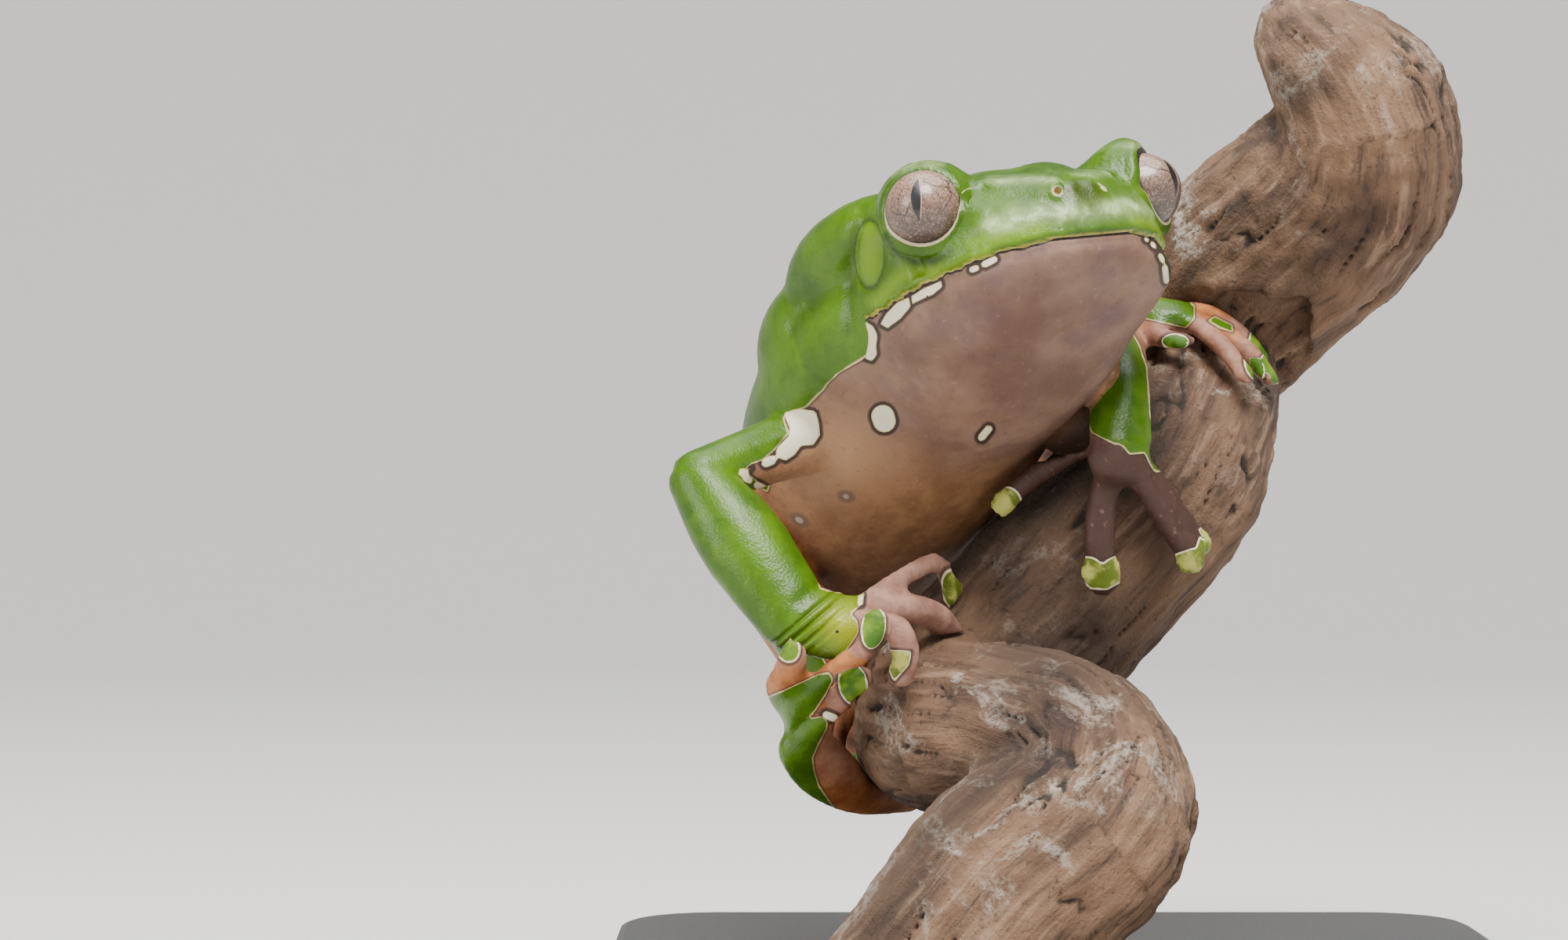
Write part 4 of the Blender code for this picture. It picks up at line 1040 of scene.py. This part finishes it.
def frog_skin():
    f = Finish("frog_skin")
    layer = f.layer
    fine, broad, mottle = f.noise(1100, 3), f.noise(120, 3), f.noise(330, 4, 0.6)
    pores = f.cells(2700)
    wander = (mottle - 0.5) * 0.5
    green = layer("green") + wander
    ember, drum, lip, nostril, edge = (layer(name) for name in ("ember", "drum", "lip", "nostril", "edge"))

    green_with_painted_light = f.coats(
        f.mix(broad.rise(0.3, 0.7), (0.025, 0.07, 0.0002), (0.06, 0.14, 0.0003)),
        (mottle.rise(0.5, 0.75) * 0.35, (0.085, 0.165, 0.0004)),
        (fine.rise(0.55, 0.8) * 0.25, (0.1, 0.2, 0.001)),
        (fine.rise(0.45, 0.25) * 0.3, (0.012, 0.042, 0.0002)),
        ((1 - drum.rise(0.85, 1.0)) * 0.6, (0.085, 0.17, 0.0005)),
        # painted shade on the front of the snout
        (layer("olive") * 0.75, (0.03, 0.045, 0.001)),
        # painted light and painted highlights on the head
        (layer("bright") * 0.75, (0.17, 0.3, 0.002)),
        (layer("gleam") * (0.35 + 0.65 * mottle.rise(0.4, 0.65)), (0.42, 0.55, 0.25)),
        (layer("sallow") * 0.85, (0.27, 0.29, 0.004)),
        # painted shade under the lower lid, behind the eardrum and on the snout's front
        (layer("shade") * 0.8, (0.008, 0.022, 0.0002)))

    throat = f.coats(
        f.mix(broad.rise(0.3, 0.7), (0.12, 0.064, 0.044), (0.21, 0.125, 0.088)),
        (f.noise(150, 3).rise(0.5, 0.68) * 0.6, (0.12, 0.066, 0.072)),
        (f.noise(90, 3).rise(0.52, 0.7) * 0.4, (0.2, 0.1, 0.05)))
    belly = f.mix(mottle.rise(0.3, 0.75), (0.17, 0.078, 0.034), (0.27, 0.135, 0.062))
    mauve = f.mix(mottle.rise(0.35, 0.7), (0.2, 0.095, 0.07), (0.33, 0.18, 0.13))
    orange = f.mix(mottle.rise(0.35, 0.7), (0.24, 0.07, 0.015), (0.4, 0.15, 0.045))
    tips = (layer("disc") + wander).rise(-5.5, -2.0)
    pale_toes = (tips * 0.85 * (1 - ember)).most(-ember).least(0.85)
    under = f.coats(
        belly,
        ((layer("throat") + wander * 0.6).rise(0.15, 0.85), throat),
        # orange-tan tint with painted light on the chest
        (layer("warm") * 0.7, (0.42, 0.24, 0.13)),
        (layer("digits").rise(0.3, 0.8), mauve),
        (layer("hind").rise(0.3, 0.8), f.mix(pale_toes, orange, mauve)),
        # painted shade on the left hand, the left upper arm and the gaps between parts
        (layer("dusk") * 0.93, (0.028, 0.011, 0.007)),
        (fine.rise(0.58, 0.8) * 0.45, (0.06, 0.03, 0.025)),
        (fine.rise(0.4, 0.2) * 0.3, (0.4, 0.26, 0.19)))

    # The edge of the green, and the line of the mouth with its tan border.
    line = layer("green") + wander * 0.5
    uneven = mottle.rise(0.38, 0.6)
    cream = line.rise(-0.03, 0.03) * (line - uneven * 0.14).rise(0.14, 0.06)
    tan = lip.rise(0.0, 0.1) * (lip - wander * 0.6).rise(0.42, 0.12)
    colour = f.coats(
        f.mix(green.rise(-0.04, 0.04), under, green_with_painted_light),
        (cream * edge * (0.45 + 0.5 * broad.rise(0.4, 0.6)), (0.6, 0.46, 0.24)),
        (line.rise(-0.32, -0.12) * line.rise(0.0, -0.06) * 0.7 * edge, (0.03, 0.018, 0.015)),
        (lip.rise(-0.4, -0.18) * lip.rise(0.12, 0.0), (0.018, 0.012, 0.01)),
        (tan * 0.7, (0.5, 0.4, 0.09)))

    disc = layer("disc") + wander * 0.35
    green_pad = f.mix(mottle.rise(0.4, 0.62), (0.035, 0.1, 0.001), (0.12, 0.21, 0.006))
    pale_pad = f.mix((mottle + broad * 0.4).rise(0.62, 0.78), (0.36, 0.36, 0.08), (0.085, 0.12, 0.004))
    white = layer("white") + wander * 0.3
    dim = layer("dim") + wander * 0.2
    colour = f.coats(
        colour,
        (disc.rise(-0.45, -0.12) * 0.8, (0.03, 0.015, 0.013)),
        (disc.rise(0.0, 0.05), (0.62, 0.55, 0.36)),
        ((disc - uneven * 0.2).rise(0.04, 0.11), f.mix(layer("hands").rise(0.3, 0.7), green_pad, pale_pad)),
        (white.rise(-0.7, -0.35) * (1 - green.rise(-0.2, 0.3)) * 0.92, (0.02, 0.011, 0.012)),
        (white.rise(-0.1, -0.02), (0.5, 0.42, 0.12)),
        (white.rise(-0.02, 0.08), (0.66, 0.6, 0.47)),
        (dim.rise(-0.9, -0.3) * 0.6, (0.09, 0.065, 0.06)),
        (dim.rise(0.1, 0.3), (0.36, 0.29, 0.21)),
        (layer("dot").rise(-0.05, 0.05), (0.015, 0.015, 0.008)),
        ((layer("lid") + wander * 0.1).rise(-0.02, 0.08), (0.5, 0.42, 0.24)),
        # painted shade in the socket between lid and eyeball
        (layer("wet").rise(-0.05, 0.05), (0.012, 0.009, 0.008)),
        (drum.rise(0.96, 1.04) * drum.rise(1.2, 1.08) * 0.55, (0.01, 0.026, 0.0005)),
        (nostril.rise(0.82, 0.66) * mottle.rise(0.3, 0.55) * 0.75, (0.45, 0.42, 0.26)),
        (nostril.rise(0.52, 0.42), (0.13, 0.075, 0.012)))

    rough = 0.27 + fine * 0.16 + (1 - green.rise(-0.1, 0.1)) * 0.24
    normal = f.bump(fine * 0.4 + pores * 0.6, 0.0001, 0.55)
    normal = f.bump(mottle, 0.0003, 0.3, normal)
    return f.set(Base_Color=colour, Roughness=rough, Normal=normal, Subsurface_Weight=0.06,
                 Subsurface_Radius=(0.0025, 0.0018, 0.0006), Subsurface_Scale=1.0, Specular_IOR_Level=0.3)


def bark():
    f = Finish("liana_bark")
    grain, shade, top = f.layer("grain", "Vector"), f.layer("shade"), f.layer("top")
    broad, speckle = f.noise(55, 4), f.noise(1100, 4, 0.75)
    strands = f.noise(520, 5, 0.65, (1.0, 1.0, 0.1), place=grain)
    bands = f.noise(160, 4, 0.6, (1.0, 1.0, 0.22), place=grain)
    patches = f.noise(95, 6, 0.7, distortion=0.8)
    threads = f.net(330, grain, 300, 0.003)
    lichen = patches.rise(0.52, 0.64) * (speckle + strands * 0.4).rise(0.58, 0.8) * top
    colour = f.coats(
        f.mix(broad.rise(0.35, 0.65), (0.065, 0.032, 0.017), (0.16, 0.088, 0.048)),
        (bands.rise(0.42, 0.62) * 0.5, (0.22, 0.125, 0.07)),
        (bands.rise(0.47, 0.34) * 0.75, (0.036, 0.019, 0.011)),
        (strands.rise(0.52, 0.72) * 0.6, (0.34, 0.215, 0.135)),
        (strands.rise(0.47, 0.3) * 0.85, (0.026, 0.014, 0.009)),
        (lichen * 0.75, (0.36, 0.32, 0.27)),
        (threads.rise(0.03, 0.01) * patches.rise(0.5, 0.62) * top * 0.3, (0.42, 0.39, 0.35)),
        (speckle.rise(0.42, 0.3) * 0.8, (0.03, 0.018, 0.012)),
        # painted shade on the liana
        (shade * 0.85, (0.02, 0.011, 0.007)),
        (f.layer("crack").rise(0.15, 0.7) * 0.9, (0.014, 0.009, 0.006)))
    normal = f.bump(strands * 0.6 + speckle * 0.5, 0.0011, 0.9)
    normal = f.bump(bands + patches * 0.5, 0.0014, 0.6, normal)
    return f.set(Base_Color=colour, Roughness=0.8 + speckle * 0.15, Normal=normal)


def eye_finish(side):
    """An iris with a net of veins and an upright slit, measured in millimetres from the eye's middle."""
    f = Finish("iris_right" if side < 0 else "iris_left")
    axis, top = gaze(side)
    away = f.vector("ADD", f.place(), -eye_centre(side) * MM)
    x, y = f.along(away, top.cross(axis) / MM), f.along(away, top / MM)
    rim = f.along(away, eye_axis(side) / MM)
    half = 1 - abs(y / SLIT_HALF_HEIGHT).power(1.9)
    slit = (half * 0.8 + x).least(half * 0.42 - x)
    cracks, net = f.net(330, away, 420, 0.0012), f.net(2600, away, 1300, 0.0007)
    cloud, streak = f.noise(230, 4, place=away), f.noise(700, 4, 0.6, place=away)
    speck = f.noise(3200, 3, 0.7, place=away)
    low_line = (0.09 - abs(x - 0.1)).least(-2.4 - y).least(y + 4.0)
    colour = f.coats(
        f.mix((y + (cloud - 0.5) * 3.0).rise(-4.0, 4.2), (0.05, 0.027, 0.02), (0.38, 0.235, 0.165)),
        (streak.rise(0.35, 0.7) * 0.4, (0.26, 0.15, 0.095)),
        (net.rise(0.14, 0.04) * 0.7, (0.035, 0.018, 0.014)),
        (speck.rise(0.54, 0.66) * 0.45, (0.46, 0.31, 0.21)),
        (speck.rise(0.46, 0.34) * 0.65, (0.03, 0.016, 0.012)),
        (cracks.rise(0.03, 0.012) * cloud.rise(0.4, 0.55) * 0.85, (0.02, 0.011, 0.009)),
        (slit.rise(-0.22, -0.02) * x.rise(-0.1, 0.3) * 0.7, (0.6, 0.36, 0.36)),
        (low_line.rise(-0.05, 0.05) * 0.6, (0.04, 0.02, 0.018)),
        (slit.rise(-0.05, 0.0), (0.003, 0.003, 0.004)),
        (rim.rise(1.75, 1.45), (0.012, 0.009, 0.008)))
    return f.set(Base_Color=colour, Roughness=0.4, Coat_Weight=0.4, Coat_Roughness=0.06,
                 Normal=f.bump(speck, 0.00006, 0.3))


def stand_black():
    f = Finish("stand_black")
    grain = f.noise(2600, 3)
    colour = f.mix(f.noise(18, 3), (0.018, 0.018, 0.019), (0.032, 0.032, 0.034))
    return f.set(Base_Color=colour, Roughness=0.34 + grain * 0.14, Normal=f.bump(grain, 0.00006, 0.5))


def rod_steel():
    f = Finish("rod_steel")
    rings = f.noise(500, 3, stretch=(1.0, 1.0, 9.0))
    colour = f.mix(rings, (0.5, 0.5, 0.51), (0.66, 0.66, 0.67))
    return f.set(Base_Color=colour, Metallic=1.0, Roughness=0.26 + rings * 0.2,
                 Normal=f.bump(rings, 0.00004, 0.5))


# Other pieces.


def gaze(side):
    """The way the pupil faces, and the way its slit stands."""
    axis = aside(side, GAZE_TURN[side], GAZE_LIFT)
    upright = UP * (1 - SLIT_PLUMB) + Vector((0.0, 0.0, SLIT_PLUMB))
    return axis, (upright - axis * axis.dot(upright)).normalized()


def make_eye(side, name):
    bpy.ops.mesh.primitive_uv_sphere_add(segments=96, ring_count=64, radius=1.0)
    eye = bpy.context.object
    eye.name = eye.data.name = name
    spots = places(eye) * MM
    bulge = 1.0 + 0.045 * smooth(0.75, 1.0, spots[:, 2])
    spots *= (EYE_RADIUS * bulge)[:, None]
    axis, top = gaze(side)
    turn = np.array((top.cross(axis), top, axis))
    set_places(eye, spots @ turn + np.array(eye_centre(side)))
    eye.data.shade_smooth()
    eye.data.materials.append(eye_finish(side))
    return eye


# The way the liana runs, in millimetres; how near a strand joins the one before it, and how far it sinks in.
LIANA_REACH, LIANA_SINK = 0.7, 0.8
LIANA_ROUTE = (
    (-29.5, -34.0, -3.0), (-21.5, -34.0, 7.0), (-9.4, -34.0, 21.8), (-0.4, -32.5, 29.4),
    (1.2, -28.0, 34.2), (-2.5, -22.5, 38.4), (-9.5, -18.5, 40.3), (-16.0, -13.0, 40.2),
    (-16.2, -3.0, 41.5), (-10.5, 5.5, 47.5), (-2.0, 9.5, 55.5), (11.0, 9.5, 70.0),
    (15.0, 13.5, 77.0), (17.5, 23.0, 82.5), (20.0, 31.0, 91.0), (27.5, 27.0, 101.5),
    (36.5, 20.5, 109.5), (41.5, 14.0, 116.0), (41.5, 9.0, 122.5), (38.5, 10.0, 127.5),
    (35.5, 14.5, 131.5), (33.5, 20.0, 136.5),
)
# Painted shade on the liana, deepest behind the frog's body and along the lower strand's shaded edge, and a
# few smaller dark marks higher up: a line in photograph pixels, half width in millimetres and strength.
LIANA_SHADES = (
    (((1180, 720), (1300, 650), (1430, 570)), 7.5, 0.92),
    (((1290, 730), (1400, 800), (1330, 830)), 8.0, 0.75),
    (((1270, 905), (1300, 925), (1331, 933)), 1.2, 0.8),
    (((1300, 960), (1240, 1010), (1170, 1080), (1110, 1190)), 3.6, 0.75),
    (((1440, 640), (1480, 720), (1440, 780)), 3.2, 0.4), (((1580, 190), (1625, 170)), 0.8, 0.9),
    (((1568, 268), (1590, 250)), 0.9, 0.9), (((1655, 122), (1690, 110)), 2.2, 0.7),
    (((1560, 390), (1640, 370), (1700, 300)), 3.0, 0.35),
)


def rope_axes(spots):
    """Across, up and along the liana's line for each row, turning as little as the line allows."""
    route = np.array(LIANA_ROUTE)
    steps = np.concatenate([[0.0], np.cumsum(length(np.diff(route, axis=0)))])
    run = np.linspace(0, steps[-1], 240)
    line = np.stack([np.interp(run, steps, route[:, k]) for k in range(3)], axis=1)
    way = np.gradient(line, axis=0)
    way /= length(way)[:, None]
    side = np.zeros_like(line)
    side[0] = np.array((0.35, 1.0, 0.2))
    for k in range(len(line)):
        last = side[max(k - 1, 0)]
        last = last - way[k] * (last @ way[k])
        side[k] = last / np.linalg.norm(last)
    best = np.full(len(spots), 1e9)
    nearest = np.zeros(len(spots), int)
    for k in range(len(line)):
        far = length(spots - line[k])
        closer = far < best
        best[closer] = far[closer]
        nearest[closer] = k
    away, way, side = spots - line[nearest], way[nearest], side[nearest]
    over, across, up = (np.einsum("ij,ij->i", away, axis) for axis in (way, side, np.cross(way, side)))
    return np.stack([across, up, run[nearest] + over], axis=1)


def make_liana():
    names = ("perch_lower", "perch_middle", "perch_upper")
    copies = [worked(solid_copy(name), "REMESH", mode="VOXEL", voxel_size=LIANA_VOXEL * MM) for name in names]
    for before, copy in zip(copies, copies[1:]):
        tree = tree_of(before)
        spots = places(copy)
        for i, spot in enumerate(spots):
            near, normal, _, _ = tree.find_nearest(Vector(spot) * MM, LIANA_REACH * MM)
            if near is not None:
                spots[i] = np.array(near - normal * LIANA_SINK * MM) / MM
        set_places(copy, spots)
    liana = join("liana", *copies)
    worked(liana, "REMESH", mode="VOXEL", voxel_size=LIANA_VOXEL * MM)
    drop_crumbs(liana)
    relax(liana, 8)

    spots, normals = places(liana), outwards(liana)
    grain = rope_axes(spots)
    relief, crack = np.empty((2, len(spots)))
    for i, (x, y, z) in enumerate(grain):
        coarse = noise.noise(Vector((x * 0.22, y * 0.22, z * 0.07)))
        streak = noise.noise(Vector((x * 0.75 + 9, y * 0.75, z * 0.16)))
        knots = noise.noise(Vector(spots[i]) * 0.35)
        split = abs(noise.noise(Vector((x * 0.3 + 31, y * 0.3, z * 0.055))))
        gate = noise.noise(Vector(spots[i]) * 0.09 + Vector((7, 3, 1)))
        crack[i] = max(0.0, 1 - split / 0.06) * min(max(gate * 5, 0.0), 1.0)
        relief[i] = 0.45 * coarse + 0.3 * streak + 0.35 * knots - 0.9 * crack[i]
    spots += normals * relief[:, None]
    set_places(liana, spots)
    layer = liana.data.attributes.new("grain", "FLOAT_VECTOR", "POINT")
    layer.data.foreach_set("vector", (grain * MM).astype(np.float32).ravel())
    keep(liana, "crack", crack)
    keep(liana, "top", smooth(-0.45, 0.55, 0.8 * normals[:, 2] - 0.35 * normals[:, 0]))
    pixel = seen_at(spots)
    # Painted shade, on the faces turned towards the viewer.
    dark = np.zeros(len(spots))
    for points, width, depth in LIANA_SHADES:
        dark = np.maximum(dark, depth * bell(from_stroke(pixel, points), width))
    keep(liana, "shade", dark * smooth(0.3, -0.2, normals[:, 1]))
    return liana


# The floor's flat radius and the radius of its curve in metres, the curve's turn in degrees and its steps.
FLOOR_FLAT, FLOOR_CURVE, FLOOR_TURN, FLOOR_STEPS = 0.9, 0.9, 82.0, 12
# Round lamps: name, place, what they face, size in metres, watts and tint.
LAMPS = (
    ("key", (0.05, -0.37, 0.7), (-0.01, -0.01, 0.08), 0.4, 13.0, (1.0, 0.98, 0.95)),
    ("side", (-0.72, -0.4, 0.34), (-0.01, 0.0, 0.07), 0.42, 4.6, (1.0, 0.99, 0.96)),
    ("fill", (0.6, -0.5, 0.2), (0.0, 0.0, 0.07), 0.6, 1.0, (0.95, 0.97, 1.0)),
    ("top", (0.0, 0.3, 2.0), (0.0, 0.3, 0.0), 2.2, 46.0, (1.0, 1.0, 1.0)),
)


def make_floor():
    """A round pale floor whose edge curves up all round."""
    bpy.ops.mesh.primitive_circle_add(vertices=96, radius=FLOOR_FLAT, fill_type="NGON")
    floor = bpy.context.object
    floor.name = floor.data.name = "floor"
    edit()
    bpy.ops.mesh.select_non_manifold()
    last = (FLOOR_FLAT, 0.0)
    for k in range(1, FLOOR_STEPS + 1):
        turn = math.radians(FLOOR_TURN) * k / FLOOR_STEPS
        wide, high = FLOOR_FLAT + FLOOR_CURVE * math.sin(turn), FLOOR_CURVE * (1 - math.cos(turn))
        bpy.ops.mesh.extrude_edges_move(TRANSFORM_OT_translate={"value": (0.0, 0.0, high - last[1])})
        grow = wide / last[0]
        bpy.ops.transform.resize(value=(grow, grow, 1.0), center_override=(0.0, 0.0, 0.0))
        last = (wide, high)
    leave()
    floor.data.shade_smooth()
    floor.data.materials.append(Finish("floor_pale").set(Base_Color=(0.68, 0.67, 0.65, 1.0), Roughness=0.8))


def make_stage():
    make_floor()
    world = bpy.data.worlds.new("studio")
    bpy.context.scene.world = world
    world.use_nodes = True
    colour, strength = world.node_tree.nodes["Background"].inputs[:2]
    colour.default_value, strength.default_value = (0.8, 0.81, 0.84, 1.0), 0.2
    for name, place, aim, size, power, tint in LAMPS:
        lamp = bpy.data.lights.new(name, "AREA")
        lamp.shape, lamp.size, lamp.energy, lamp.color = "DISK", size, power, tint
        light = put(name, lamp)
        light.location = place
        light.rotation_euler = (Vector(place) - Vector(aim)).to_track_quat("Z", "Y").to_euler()
    camera = put("camera", bpy.data.cameras.new("camera"))
    camera.data.sensor_width, camera.data.lens, camera.data.clip_start = SENSOR, CAMERA_LENS, 0.01
    camera.location = CAMERA_PLACE
    camera.rotation_euler = (math.radians(90), 0.0, 0.0)
    bpy.context.scene.camera = camera


for leftover in [thing for thing in bpy.data.objects if thing.name in ("Cube", "Light", "Camera")]:
    bpy.data.objects.remove(leftover)

skin = make_skin()
sculpt(skin)
spare_the_front(skin, SKIN_TRIANGLES)
mark(skin)
skin.data.shade_smooth()
skin.data.materials.append(frog_skin())
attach(skin, "root")
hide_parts(*FLESH)

for side, word in ((-1, "right"), (1, "left")):
    eye = make_eye(side, "eyeball_" + word)
    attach(eye, "root")
    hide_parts("eye_" + word)

liana = make_liana()
liana.data.shade_smooth()
liana.data.materials.append(bark())
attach(liana, "root")
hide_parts("perch_lower", "perch_middle", "perch_upper")

for name in ("stand_base", "stand_rod_front", "stand_rod_rear"):
    frame["nodes"][name].data.materials.clear()
    frame["nodes"][name].data.materials.append(stand_black() if name == "stand_base" else rod_steel())

make_stage()
